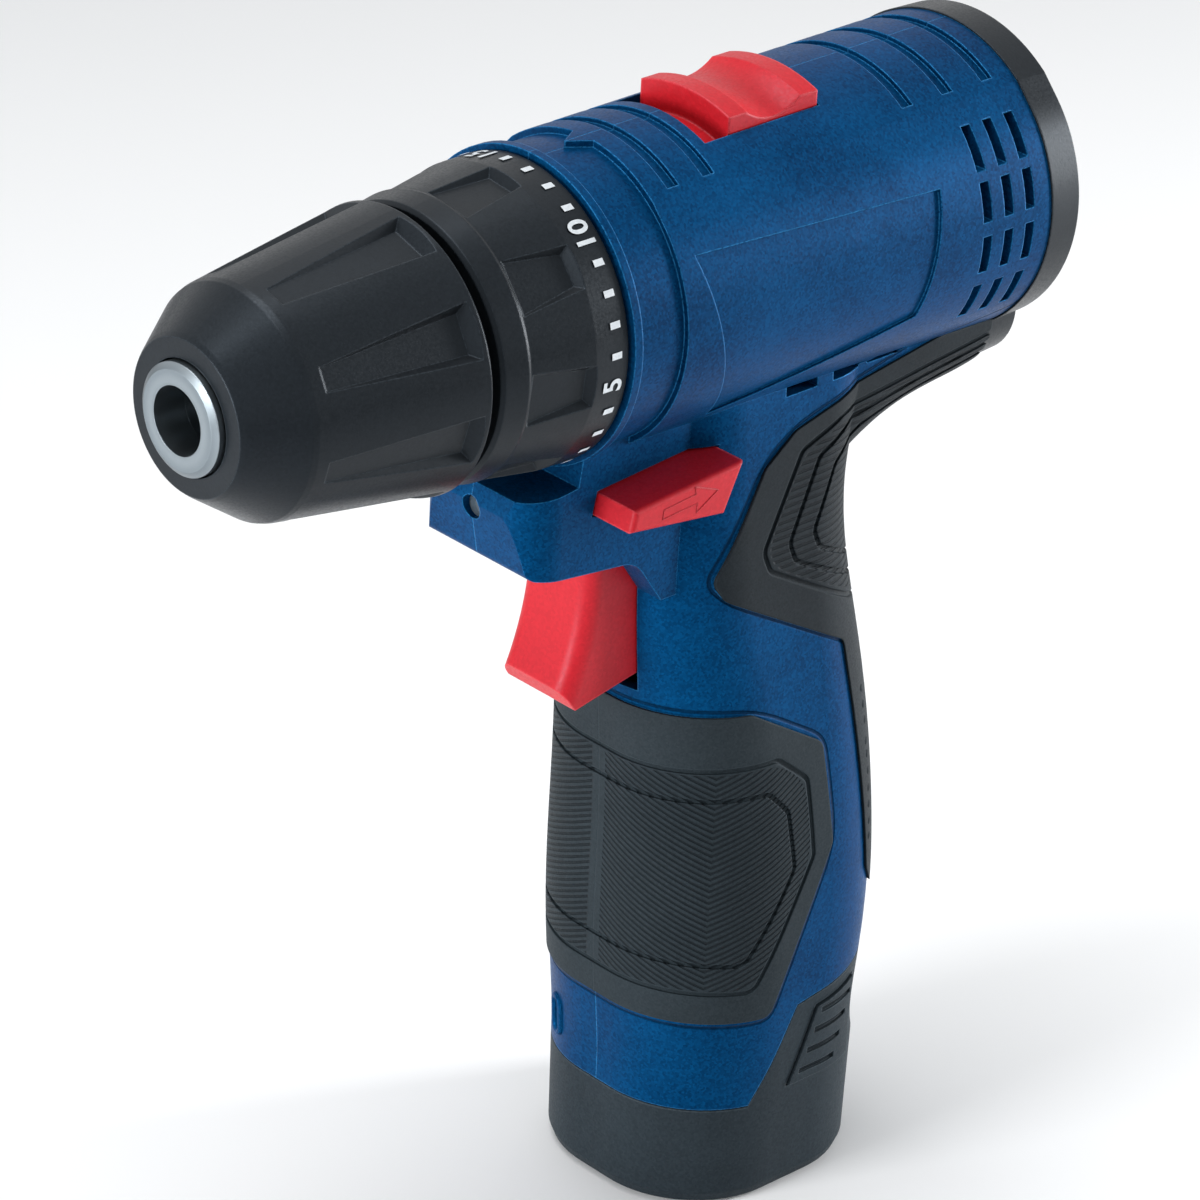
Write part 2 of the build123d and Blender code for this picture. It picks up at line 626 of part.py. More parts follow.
def chuck_body():
    """Body bored for three slanting jaws, turned in one piece with the nose ring and the hub."""
    reach = JAW_RADIUS / cos(radians(JAW_ANGLE))
    groove_front, groove_rear = NUT_SPAN[0] - SLIP / 2, NUT_SPAN[1] + SLIP / 2
    groove_radius = jaw_line(groove_front) + reach - NUT_BITE
    bore_end = CHUCK_BORE_LENGTH - NOSE_REACH
    chamfer_length, chamfer_depth = NOSE_CHAMFER
    cone_radius, cone_end = CHUCK_CONE
    hole_radius, hole_end = CHUCK_SCREW_HOLE
    body = turned(
        (-NOSE_REACH, CHUCK_BORE_RADIUS), (-NOSE_REACH, NOSE_RADIUS - chamfer_depth),
        (-NOSE_REACH + chamfer_length, NOSE_RADIUS), (NOSE_END, NOSE_RADIUS),
        (groove_front - SLEEVE_STEP, CHUCK_WAIST_RADIUS), (groove_front, CHUCK_WAIST_RADIUS),
        (groove_front, groove_radius), (groove_rear, groove_radius), (groove_rear, cone_radius),
        (cone_end, CHUCK_BODY_RADIUS), (CHUCK_SKIRT_REAR, CHUCK_BODY_RADIUS),
        (CHUCK_SKIRT_REAR, CHUCK_HUB_RADIUS), (CHUCK_BODY_REAR, CHUCK_HUB_RADIUS),
        (CHUCK_BODY_REAR, SPINDLE_STUB_RADIUS + FIT), (hole_end, SPINDLE_STUB_RADIUS + FIT),
        (hole_end, hole_radius), (CHUCK_SCREW_SEAT, hole_radius), (CHUCK_SCREW_SEAT, CHUCK_CHAMBER_RADIUS),
        (bore_end, CHUCK_CHAMBER_RADIUS), (bore_end, CHUCK_BORE_RADIUS),
    )
    jaw_bore = jaw_rod(bore_end + SLIP, CHUCK_BODY_REAR + 2 * JAW_RADIUS, JAW_RADIUS + FIT)
    inside_nose = rod(-NOSE_REACH, bore_end, NOSE_RADIUS)
    pocket = Pos(0, 0, POCKET_CIRCLE) * rod(POCKET_START, CHUCK_BODY_REAR + 1, POCKET_RADIUS)
    jaw_bores = [bore - inside_nose for bore in around(jaw_bore, CHUCK_JAWS, 90)]
    parts["chuck_body"] = CHUCK_PLACE * (body - jaw_bores - around(pocket, CHUCK_JAWS, 30))


def chuck_jaws():
    """Round jaws, each ground to a blunt wedge that faces the axis."""
    blank = jaw_rod(JAW_SPAN[0], JAW_SPAN[1], JAW_RADIUS)
    depth = 2 * JAW_RADIUS
    shoulder = JAW_OPENING + tan(radians(30)) * (depth - JAW_EDGE)
    wedge = ((-depth, -REACH), (-depth, shoulder), (-JAW_EDGE, JAW_OPENING), (JAW_EDGE, JAW_OPENING),
             (depth, shoulder), (depth, -REACH))
    grip = extrude(Plane.YZ * make_face(Polyline(*wedge, close=True)), amount=CHUCK_BODY_REAR)
    for index, jaw in enumerate(around(blank - grip, CHUCK_JAWS, 90)):
        parts[f"jaw_{index + 1}"] = CHUCK_PLACE * jaw


def chuck_nut_and_screw():
    reach = JAW_RADIUS / cos(radians(JAW_ANGLE))
    nut_front, nut_rear = NUT_SPAN
    bore_front, bore_rear = [jaw_line(x) + reach + SLIP for x in NUT_SPAN]
    ring = turned((nut_front, bore_front), (nut_rear, bore_rear), (nut_rear, NUT_RADIUS),
                  (nut_front, NUT_RADIUS))
    saw_cut = block((0, REACH), (-NUT_SPLIT / 2, NUT_SPLIT / 2), (-REACH, REACH))
    parts["chuck_nut"] = CHUCK_PLACE * (ring - saw_cut)
    (shank_radius, shank_end), (head_radius, head_height) = CHUCK_SCREW_SHANK, CHUCK_SCREW_HEAD
    head_x = CHUCK_SCREW_SEAT - head_height
    screw = rod(head_x, CHUCK_SCREW_SEAT, head_radius) + rod(CHUCK_SCREW_SEAT, shank_end, shank_radius)
    socket_radius, socket_depth = CHUCK_SCREW_SOCKET
    socket = extrude(Plane.YZ.offset(head_x) * RegularPolygon(socket_radius, 6), amount=socket_depth)
    parts["chuck_screw"] = CHUCK_PLACE * (screw - socket)


def chuck_sleeve():
    """Fluted sleeve that turns on the chuck body and carries the split nut."""
    nut_front, nut_rear = NUT_SPAN
    nose_bore, body_bore = NOSE_RADIUS + SLIP, CHUCK_BODY_RADIUS + 2 * SLIP
    rim_x, step_x = SLEEVE_LENGTH - SLEEVE_RIM, nut_rear + 1.0
    sleeve = turned(
        (0, nose_bore), *SLEEVE_PROFILE, (SLEEVE_LENGTH, body_bore), (rim_x, body_bore),
        (rim_x, SLEEVE_BORE), (step_x, body_bore), (step_x, NUT_RADIUS + FIT),
        (nut_front, NUT_RADIUS + FIT), (nut_front, SLEEVE_WAIST), (nut_front - SLEEVE_STEP, SLEEVE_WAIST),
        (NOSE_END + SLIP, nose_bore + 2 * SLIP), (NOSE_END, nose_bore),
    )
    floor = [sleeve_radius(x) - depth for x, depth in zip(FLUTE_SPAN, FLUTE_DEPTHS)]
    cutter = recess_cutter(FLUTE_SPAN, floor, FLUTE_WIDTHS, FLUTE_MOUTH)
    parts["chuck_sleeve"] = CHUCK_PLACE * (sleeve - around(cutter, FLUTES, FLUTE_PHASE - 90))


def torque_collar():
    """Notched collar that turns on the gear case's nose, keyed inside to the clutch nut."""
    rear, bore = COLLAR_LENGTH, CASE_NOSE_RADIUS + FIT
    collar = turned((0, bore), *COLLAR_PROFILE, (rear, COLLAR_BORE), (COLLAR_FACE, COLLAR_BORE),
                    (COLLAR_FACE, bore))
    cutter = recess_cutter(NOTCH_SPAN, NOTCH_FLOOR, NOTCH_WIDTHS, NOTCH_MOUTH)
    half = KEYWAY_WIDTH / 2
    keyway_span = (KEYWAY_MARGIN[0], rear - KEYWAY_MARGIN[1])
    keyway = block(keyway_span, (-half, half), (COLLAR_BORE - 1, COLLAR_BORE + KEYWAY_DEPTH))
    collar = collar - around(cutter, COLLAR_NOTCHES, COLLAR_NOTCH_PHASE - 90) - around(keyway, KEYS, 30)
    parts["torque_collar"] = DRIVE_PLACE * Pos(COLLAR_FRONT, 0, 0) * collar


def clutch():
    """Nut, spring, washer and pins that press the last ring gear to the rear."""
    bore = CASE_NOSE_RADIUS + SLIP
    washer_rear = CASE_FLANGE[0] - CLUTCH_PIN_REACH
    washer_front = washer_rear - WASHER_THICKNESS
    spring_front = washer_front - CLUTCH_SPRING_LENGTH
    nut_front = spring_front - CLUTCH_NUT_LENGTH
    parts["clutch_washer"] = DRIVE_PLACE * tube(washer_front, washer_rear, bore, WASHER_RADIUS)
    coil_bore = CLUTCH_SPRING_RADIUS - CLUTCH_WIRE
    parts["clutch_spring"] = DRIVE_PLACE * tube(spring_front, washer_front, coil_bore, CLUTCH_SPRING_RADIUS)
    half = KEYWAY_WIDTH / 2 - SLIP
    lug = block((nut_front, spring_front), (-half, half), (CLUTCH_NUT_RADIUS - 0.5, COLLAR_BORE + 0.5))
    nut = tube(nut_front, spring_front, bore, CLUTCH_NUT_RADIUS) + around(lug, KEYS, 30)
    parts["clutch_nut"] = DRIVE_PLACE * nut
    pin = Pos(0, 0, CLUTCH_PIN_CIRCLE) * rod(washer_rear, RING_3_X, CLUTCH_PIN_RADIUS)
    parts["clutch_pins"] = DRIVE_PLACE * Compound(around(pin, CLUTCH_PINS))


def gear_case():
    """Case that holds the ring gears, with a nose for the spindle's bearing and the clutch."""
    flange_front, flange_rear = CASE_FLANGE
    flange_radius = FRONT_OPENING_RADIUS - SLIP
    nose = -CASE_NOSE_LENGTH
    seat_end = nose + BEARING_WIDTH + 0.5
    ring_3_end = RING_3_X + RING_3_LENGTH + END_PLAY
    spindle_bore, relief = SPINDLE_RADIUS + FIT, CASE_BORE + CASE_RELIEF
    case = turned(
        (nose, BEARING_RADIUS + FIT), (nose, CASE_NOSE_RADIUS), (flange_front, CASE_NOSE_RADIUS),
        (flange_front, flange_radius), (flange_rear, flange_radius), (flange_rear, CASE_RADIUS),
        (CASE_REAR, CASE_RADIUS), (CASE_REAR, RING_RADIUS + FIT), (RING_1_X, RING_RADIUS + FIT),
        (RING_1_X, relief), (ring_3_end, relief), (ring_3_end, CASE_BORE), (flange_rear, CASE_BORE),
        (flange_rear, spindle_bore), (CASE_WEB_X, spindle_bore), (CASE_WEB_X, CASE_NOSE_BORE),
        (seat_end, CASE_NOSE_BORE), (seat_end, BEARING_RADIUS + FIT),
    )
    hole = rod(flange_front - 1, flange_rear + 1, CLUTCH_PIN_RADIUS + FIT)
    window_span = (SHIFT_RING_X - SHIFT_TRAVEL + 1.0, SHIFT_RING_X + SHIFT_RING_LENGTH + END_PLAY)
    window = block(window_span, (-REACH, REACH), (-CASE_WINDOW / 2, CASE_WINDOW / 2))
    holes = around(Pos(0, 0, CLUTCH_PIN_CIRCLE) * hole, CLUTCH_PINS)
    parts["gear_case"] = DRIVE_PLACE * (case - holes - window)
    bearing_x = nose + END_PLAY
    bearing = tube(bearing_x, bearing_x + BEARING_WIDTH, SPINDLE_RADIUS + FIT / 2, BEARING_RADIUS)
    parts["spindle_bearing"] = DRIVE_PLACE * bearing
    plate = tube(CASE_REAR, CASE_REAR + PLATE_THICKNESS, MOTOR_BOSS_RADIUS + FIT, CASE_RADIUS)
    parts["gearbox_plate"] = DRIVE_PLACE * plate


def gears():
    """Three planetary stages from the motor's pinion to the spindle."""
    parts["ring_gear_3"] = DRIVE_PLACE * ring_gear(RING_3_X, RING_3_LENGTH)
    parts["ring_gear_1"] = DRIVE_PLACE * ring_gear(RING_1_X, RING_1_LENGTH)
    groove_end = SHIFT_GROOVE_X + SHIFT_GROOVE[1]
    groove = tube(SHIFT_GROOVE_X, groove_end, RING_RADIUS - SHIFT_GROOVE_DEPTH, RING_RADIUS + 1)
    parts["shift_ring"] = DRIVE_PLACE * (ring_gear(SHIFT_RING_X, SHIFT_RING_LENGTH) - groove)
    sun_3_x, sun_2_x = PLANETS_3_X + END_PLAY, PLANETS_2_X + END_PLAY
    sun_3 = spur(SUN_TEETH, sun_3_x, CARRIER_2_X - sun_3_x)
    sun_2 = spur(SUN_TEETH, sun_2_x, CARRIER_1_X - sun_2_x)
    parts["carrier_2"] = DRIVE_PLACE * (carrier(CARRIER_2_X, STAGE_2_FACE) + sun_3)
    parts["carrier_1"] = DRIVE_PLACE * (carrier(CARRIER_1_X, STAGE_1_FACE) + sun_2)
    stages = ((1, PLANETS_1_X, STAGE_1_FACE), (2, PLANETS_2_X, STAGE_2_FACE), (3, PLANETS_3_X, STAGE_3_FACE))
    for stage, start, face in stages:
        for index in range(PLANETS):
            parts[f"planet_{stage}_{index + 1}"] = planet(index, start, face)


def spindle():
    """Spindle with the last carrier behind and a shoulder and a stub for the chuck in front."""
    shoulder_length, shoulder_radius = SPINDLE_SHOULDER
    shoulder_x, stub_x = CHUCK_REAR + shoulder_length, CHUCK_REAR - SPINDLE_STUB_LENGTH
    solid = carrier(FLANGE_3_X, STAGE_3_FACE) + rod(shoulder_x, FLANGE_3_X, SPINDLE_RADIUS)
    solid = solid + rod(CHUCK_REAR, shoulder_x, shoulder_radius)
    solid = solid + rod(stub_x, CHUCK_REAR, SPINDLE_STUB_RADIUS)
    thread = rod(stub_x - 1, FLANGE_3_X, CHUCK_SCREW_SHANK[0] + FIT)
    parts["spindle"] = DRIVE_PLACE * (solid - thread)


def motor_shell():
    """Can with its flux ring, end bell, magnets and brushes."""
    inner, shaft_bore = MOTOR_RADIUS - MOTOR_WALL, MOTOR_SHAFT_RADIUS + FIT
    boss_front, can_floor = MOTOR_X - PLATE_THICKNESS + SLIP, MOTOR_X + MOTOR_WALL
    can = turned(
        (boss_front, shaft_bore), (boss_front, MOTOR_BOSS_RADIUS), (MOTOR_X, MOTOR_BOSS_RADIUS),
        (MOTOR_X, MOTOR_RADIUS), (MOTOR_REAR, MOTOR_RADIUS), (MOTOR_REAR, inner), (can_floor, inner),
        (can_floor, shaft_bore),
    )
    flux_span = [MOTOR_X + x for x in FLUX_RING_SPAN]
    parts["motor_can"] = DRIVE_PLACE * (can + tube(*flux_span, inner + 0.5, FLUX_RING_RADIUS))
    (spigot, spigot_wall), (boss, boss_radius) = BELL_SPIGOT, BELL_BOSS
    spigot_x, face_x, boss_x = MOTOR_REAR - spigot, MOTOR_REAR + BELL_THICKNESS, MOTOR_REAR + boss
    bell = turned(
        (spigot_x, inner - spigot_wall), (spigot_x, inner - FIT), (MOTOR_REAR, inner - FIT),
        (MOTOR_REAR, MOTOR_RADIUS), (face_x, MOTOR_RADIUS), (face_x, boss_radius), (boss_x, boss_radius),
        (boss_x, shaft_bore), (MOTOR_REAR, shaft_bore), (MOTOR_REAR, inner - spigot_wall),
    )
    parts["motor_end_bell"] = DRIVE_PLACE * bell
    magnet_span = [MOTOR_X + x for x in MAGNET_SPAN]
    ring = tube(*magnet_span, ARMATURE_RADIUS + AIR_GAP, inner - FIT)
    gap = block(magnet_span, (-MAGNET_GAP / 2, MAGNET_GAP / 2), (-REACH, REACH))
    parts["motor_magnets"] = DRIVE_PLACE * (ring - gap)
    brush_span = [MOTOR_X + x for x in BRUSH_SPAN]
    brush_reach = (COMMUTATOR_RADIUS + FIT, inner - spigot_wall - FIT)
    brush = block(brush_span, brush_reach, (-BRUSH_WIDTH / 2, BRUSH_WIDTH / 2))
    parts["motor_brushes"] = DRIVE_PLACE * Compound(around(brush, 2))


def armature():
    """Everything that turns on the motor's shaft."""
    shaft_bore = MOTOR_SHAFT_RADIUS + FIT / 3
    pinion_x, shaft_end = PLANETS_1_X + END_PLAY / 2, MOTOR_REAR + BELL_BOSS[0] - 2 * END_PLAY
    parts["motor_shaft"] = DRIVE_PLACE * rod(pinion_x, shaft_end, MOTOR_SHAFT_RADIUS)
    pinion = spur(SUN_TEETH, pinion_x, STAGE_1_FACE) - rod(pinion_x - 1, MOTOR_X, shaft_bore)
    parts["motor_pinion"] = DRIVE_PLACE * pinion
    front, rear = [MOTOR_X + x for x in ARMATURE_SPAN]
    slot_round = Pos(0, 0, SLOT_CIRCLE) * rod(front - 1, rear + 1, SLOT_RADIUS)
    slot_mouth = block((front - 1, rear + 1), (-SLOT_MOUTH / 2, SLOT_MOUTH / 2), (SLOT_CIRCLE, REACH))
    core = tube(front, rear, shaft_bore, ARMATURE_RADIUS) - around(slot_round + slot_mouth, ARMATURE_POLES)
    parts["armature_core"] = DRIVE_PLACE * core
    front_turns = tube(front - WINDING_HEAD, front, shaft_bore, WINDING_RADIUS)
    rear_turns = tube(rear, rear + WINDING_HEAD, shaft_bore, WINDING_RADIUS)
    bundle = Pos(0, 0, SLOT_CIRCLE) * rod(front, rear, SLOT_RADIUS - 0.1)
    parts["motor_windings"] = DRIVE_PLACE * (front_turns + rear_turns + around(bundle, ARMATURE_POLES))
    segment_span = [MOTOR_X + x for x in COMMUTATOR_SPAN]
    segments = tube(*segment_span, shaft_bore, COMMUTATOR_RADIUS)
    cut_width, cut_depth = COMMUTATOR_CUT
    cut = block(segment_span, (-cut_width / 2, cut_width / 2), (COMMUTATOR_RADIUS - cut_depth, REACH))
    parts["commutator"] = DRIVE_PLACE * (segments - around(cut, ARMATURE_POLES, 180 / ARMATURE_POLES))
    fan_front, fan_rear = [MOTOR_X + x for x in FAN_SPAN]
    disc_x = fan_rear - FAN_DISC
    fan = tube(fan_front, fan_rear, shaft_bore, FAN_HUB_RADIUS)
    fan = fan + tube(disc_x, fan_rear, shaft_bore, FAN_RADIUS)
    half = FAN_BLADE / 2
    blade = block((fan_front, disc_x + 0.1), (-half, half), (FAN_HUB_RADIUS - 0.2, FAN_RADIUS - 0.5))
    parts["motor_fan"] = DRIVE_PLACE * (fan + around(blade, FAN_BLADES))


def selector():
    """Slider with two cross ridges and a hollow between them, on a curved plate below the head's wall."""
    front, rear = SELECTOR_SPAN
    half = SELECTOR_WIDTH / 2
    top = HEAD_CREST - WALL - SLIP
    floor = top - SELECTOR_PLATE
    ridge, valley = HEAD_CREST + SELECTOR_HEIGHT, HEAD_CREST + SELECTOR_VALLEY
    hollow_front, hollow_rear = front + SELECTOR_RIDGE, rear - SELECTOR_RIDGE
    edges = [
        Polyline((hollow_rear, ridge), (rear, ridge), (rear, top - 1), (front, top - 1), (front, ridge),
                 (hollow_front, ridge)),
        ThreePointArc((hollow_front, ridge), ((front + rear) / 2, valley), (hollow_rear, ridge)),
    ]
    upper_half = (0, REACH)
    button = revolve(Plane.XZ * make_face(edges), Axis.X) & block((front, rear), (-half, half), upper_half)
    plate_span, plate_half = (front - SELECTOR_APRON, rear + SELECTOR_APRON), half + SELECTOR_MARGIN
    plate = tube(*plate_span, floor, top) & block(plate_span, (-plate_half, plate_half), upper_half)
    arm_half = SELECTOR_ARM / 2
    arm = block((SHIFT_RING_X, rear), (-arm_half, arm_half), (floor, top - 0.4))
    parts["gear_selector"] = DRIVE_PLACE * (arm + plate + button)


def shift_fork():
    """Bow over the gear case with a finger on each side in the sliding ring's groove."""
    top = HEAD_CREST - WALL - SLIP - SELECTOR_PLATE
    inner = CASE_RADIUS + SLIP
    front, rear = SHIFT_GROOVE_X + FORK_PLAY, SHIFT_GROOVE_X + SHIFT_GROOVE[1] - FORK_PLAY
    half = CASE_WINDOW / 2 - 2 * FORK_PLAY
    bow = tube(front, rear, inner, top - FORK_PLAY) & block((front, rear), (-REACH, REACH), (-half, REACH))
    finger_reach = (RING_RADIUS - SHIFT_GROOVE_DEPTH + SLIP, CASE_RADIUS + 1.0)
    fingers = [block((front, rear), sorted((side * finger_reach[0], side * finger_reach[1])), (-half, half))
               for side in (-1, 1)]
    tab = block((front, rear), (-FORK_TAB / 2, FORK_TAB / 2), (inner + 0.4, top))
    parts["shift_fork"] = DRIVE_PLACE * (bow + fingers + tab)


def trigger_and_switch():
    """Trigger with its plunger, the switch module behind it and the block of battery contacts below."""
    back, foot = TRIGGER_BACK_X, TRIGGER_FOOT_Z
    front_top, waist, front_foot = TRIGGER_FRONT
    toe = (front_foot[0] + TRIGGER_TOE[0], foot)
    heel, back_top = (back, foot + TRIGGER_HEEL), (back, TRIGGER_TOP_Z)
    edges = [
        ThreePointArc(front_top, waist, front_foot),
        Polyline(front_foot, toe, heel, back_top, front_top),
    ]
    trigger = extrude(Plane.XZ * make_face(edges), amount=TRIGGER_WIDTH / 2, both=True)
    trigger = fillet(trigger.edges().filter_by(GeomType.CIRCLE), TRIGGER_EDGE)
    at_plunger = Pos(0, 0, PLUNGER_Z)
    parts["trigger"] = trigger + at_plunger * rod(back - 1, back + PLUNGER_LENGTH, PLUNGER_RADIUS)
    bore_end = back + PLUNGER_LENGTH + TRIGGER_TRAVEL + 1
    half = SWITCH_WIDTH / 2
    module = block((SWITCH_X, SWITCH_X + SWITCH_LENGTH), (-half, half), (SWITCH_FOOT_Z, SWITCH_TOP_Z))
    parts["switch_module"] = module - at_plunger * rod(back, bore_end, PLUNGER_RADIUS + FIT)
    length, width = CONTACTS_SIZE
    heights = (TOWER_TOP_Z + CONTACTS_GAP, SWITCH_FOOT_Z)
    parts["battery_contacts"] = block((-length / 2, length / 2), (-width / 2, width / 2), heights)


def direction_switch():
    """Bar through the neck that stands out on the left side."""
    bar = prism(DIRECTION_OUTLINE, -DIRECTION_HALF_WIDTH - DIRECTION_REACH, DIRECTION_HALF_WIDTH)
    parts["direction_switch"] = fillet(bar.faces().sort_by(Axis.Y)[0].edges(), DIRECTION_EDGE)


def battery():
    """Foot and seam wing, a clover stem that holds the cells and a tower with the terminals."""
    shell = handle_solid(0.0) & prism(SEAM_OUTLINE)
    stem = stem_solid(STEM_RADIUS, STEM_FOOT_Z, STEM_TOP_Z)
    length, width = TOWER_SIZE
    tower_span = (TOWER_X - length / 2, TOWER_X + length / 2)
    tower = block(tower_span, (-width / 2, width / 2), (STEM_TOP_Z - 1, TOWER_TOP_Z))
    middles = [Pos(x, y, CELL_FLOOR_Z + CELL_LENGTH / 2) for x, y in cell_places()]
    pockets = [middle * Cylinder(CELL_RADIUS + PLAY, CELL_LENGTH + 2 * PLAY) for middle in middles]
    parts["battery_cells"] = Compound([middle * Cylinder(CELL_RADIUS, CELL_LENGTH) for middle in middles])
    thickness, reach = TERMINAL_BLADE[0] / 2, TERMINAL_BLADE[1] / 2
    foot, top = TOWER_TOP_Z - TERMINAL_DEPTH, TOWER_TOP_Z + TERMINAL_REACH
    room, width_room = thickness + PLAY, reach + 2 * PLAY
    blade = block((-thickness, thickness), (-reach, reach), (foot, top))
    slot = block((-room, room), (-width_room, width_room), (foot - 2 * PLAY, top))
    parts["battery_terminals"] = Compound([Pos(x, 0, 0) * blade for x in TERMINALS_X])
    latch_room = prism(LATCH_OUTLINE) - handle_solid(LATCH_THICKNESS + LATCH_TRAVEL + SLIP)
    slots = [Pos(x, 0, 0) * slot for x in TERMINALS_X]
    parts["battery_case"] = shell + stem + tower - pockets - latch_room - slots


def latches():
    """Release latch on each side of the battery, with finger grooves that follow its slanting front edge."""
    face = offset(make_face(Polyline(*LATCH_OUTLINE, close=True)), -SLIP, kind=Kind.INTERSECTION)
    latch = (handle_solid(-GRIP_PROUD) & flank_prism(face)) - handle_solid(LATCH_THICKNESS)
    (low_x, low_z), (high_x, high_z) = LATCH_OUTLINE[:2]
    half = LATCH_GROOVE_WIDTH / 2
    grooves = []
    for z in LATCH_GROOVES_Z:
        edge_x = low_x + (high_x - low_x) * (z - low_z) / (high_z - low_z)
        span = [edge_x + reach for reach in LATCH_GROOVE_SPAN]
        grooves.append(block(span, (-REACH, REACH), (z - half, z + half)) - handle_solid(0.0))
    latch = latch - grooves
    for name, side in (("latch_left", -1), ("latch_right", 1)):
        parts[name] = latch & block((-REACH, REACH), sorted((0, REACH * side)), (0, 2 * REACH))


def relief_cuts():
    """Shallow recesses in the head: side panels and grooves across the top."""
    panels = prism(PANEL_OUTLINE) - head_solid(HEAD_FRONT_X, HEAD_REAR_X, PANEL_DEPTH)
    half, reach = TOP_GROOVE_WIDTH / 2, RIDGE_TOP[0] - TOP_GROOVE_MARGIN
    heights = (AXIS_HEIGHT + RIDGE_TOP[1] - 2.0, AXIS_HEIGHT + REACH)
    bands = [block((x - half, x + half), (-reach, reach), heights) for x in TOP_GROOVES_X]
    grooves = Part() + bands - head_solid(HEAD_FRONT_X, HEAD_REAR_X, TOP_GROOVE_DEPTH)
    return [panels, grooves]


def vent_cuts():
    """Three columns of cooling slots beside the motor and a row of short slots below each panel."""
    half_width, half_length = VENT_WIDTH / 2, VENT_LENGTH / 2
    slot_length, slot_height = SLOT_SIZE
    cuts = []
    for side in (-1, 1):
        across = sorted((side * VENT_INNER_Y, side * REACH))
        for x in VENT_COLUMNS_X:
            for z in VENT_ROWS_Z:
                heights = (z - half_length, z + half_length)
                cuts.append(block((x - half_width, x + half_width), across, heights))
        cuts += [block((x, x + slot_length), across, (SLOT_Z, SLOT_Z + slot_height)) for x in SLOT_X]
    return cuts


def control_cuts():
    """Openings for the trigger, the direction switch, the gear selector and the lamp."""
    half = TRIGGER_WIDTH / 2 + SLIP
    heights = (TRIGGER_FOOT_Z - 2 * SLIP, TRIGGER_TOP_Z + SLIP)
    trigger_window = block((CHIN_FRONT_X - 1, TRIGGER_BACK_X + 8), (-half, half), heights)
    outline = offset(make_face(Polyline(*DIRECTION_OUTLINE, close=True)), SLIP, kind=Kind.INTERSECTION)
    direction_window = flank_prism(outline)
    front, rear = SELECTOR_SPAN
    half = SELECTOR_WIDTH / 2 + SLIP
    lengths = (front - SHIFT_TRAVEL - SLIP, rear + SLIP)
    selector_window = DRIVE_PLACE * block(lengths, (-half, half), (RIDGE_TOP[1] - 1, REACH))
    lamp = Pos(0, 0, LED_Z) * rod(CHIN_FRONT_X - 5, CHIN_FRONT_X + LED_SPAN[1], LED_RADIUS + FIT)
    return [trigger_window, direction_window, selector_window, lamp]


def inner_ribs(cavity):
    """Ribs inside the shell that carry the gear case, the motor and the switch."""
    places = [(x, CASE_RADIUS) for x in CASE_RIBS_X]
    places += [(MOTOR_X + MOTOR_RIBS[0], MOTOR_RADIUS), (MOTOR_REAR - MOTOR_RIBS[1], MOTOR_RADIUS)]
    rings = [tube(x, x + RIB_THICKNESS, radius + PLAY, RIB_RADIUS) for x, radius in places]
    half = SELECTOR_WIDTH / 2 + SELECTOR_ROOM
    selector_slot = block((0, HEAD_LENGTH), (-half, half), (0, REACH))
    ribs = DRIVE_PLACE * (Part() + rings - selector_slot)
    heights = (TRIGGER_FOOT_Z + RIB_THICKNESS, SWITCH_TOP_Z - RIB_THICKNESS)
    for side in (-1, 1):
        across = sorted((side * SWITCH_WIDTH / 2, side * REACH))
        for x in SWITCH_RIBS:
            ribs = ribs + block((SWITCH_X + x, SWITCH_X + x + RIB_THICKNESS), across, heights)
    return ribs & cavity


def cross_rod(place, start, end, radius):
    """Rod across the drill at a side-view place, from y = start to y = end."""
    x, z = place
    return Pos(x, (start + end) / 2, z) * Rot(90, 0, 0) * Cylinder(radius, end - start)


def screw_bosses(outer):
    """Slim bosses on the left half for the threads, wide ones on the right half round the screw heads."""
    bosses = [cross_rod(place, -REACH, 0, BOSS_RADIUS) for place in SCREW_PLACES]
    bosses += [cross_rod(place, 0, REACH, SCREW_HEAD_RADIUS + BOSS_WALL) for place in SCREW_PLACES]
    return (Part() + bosses) & outer


def screw_cuts():
    """Shank holes and head recesses that open on the right side."""
    cuts = [cross_rod(place, -SCREW_TIP_Y - SLIP, SCREW_SEAT_Y, SCREW_RADIUS + FIT) for place in SCREW_PLACES]
    cuts += [cross_rod(place, SCREW_SEAT_Y, REACH, SCREW_HEAD_RADIUS + PLAY) for place in SCREW_PLACES]
    return cuts


def screws():
    length, width = SCREW_CROSS
    head_top = SCREW_SEAT_Y + SCREW_HEAD_HEIGHT
    cross = Box(length, 2 * SCREW_CROSS_DEPTH, width) + Box(width, 2 * SCREW_CROSS_DEPTH, length)
    group = []
    for x, z in SCREW_PLACES:
        shank = cross_rod((x, z), -SCREW_TIP_Y, SCREW_SEAT_Y, SCREW_RADIUS)
        head = cross_rod((x, z), SCREW_SEAT_Y, head_top, SCREW_HEAD_RADIUS)
        group.append(shank + head - Pos(x, head_top, z) * cross)
    parts["housing_screws"] = Compound(group)


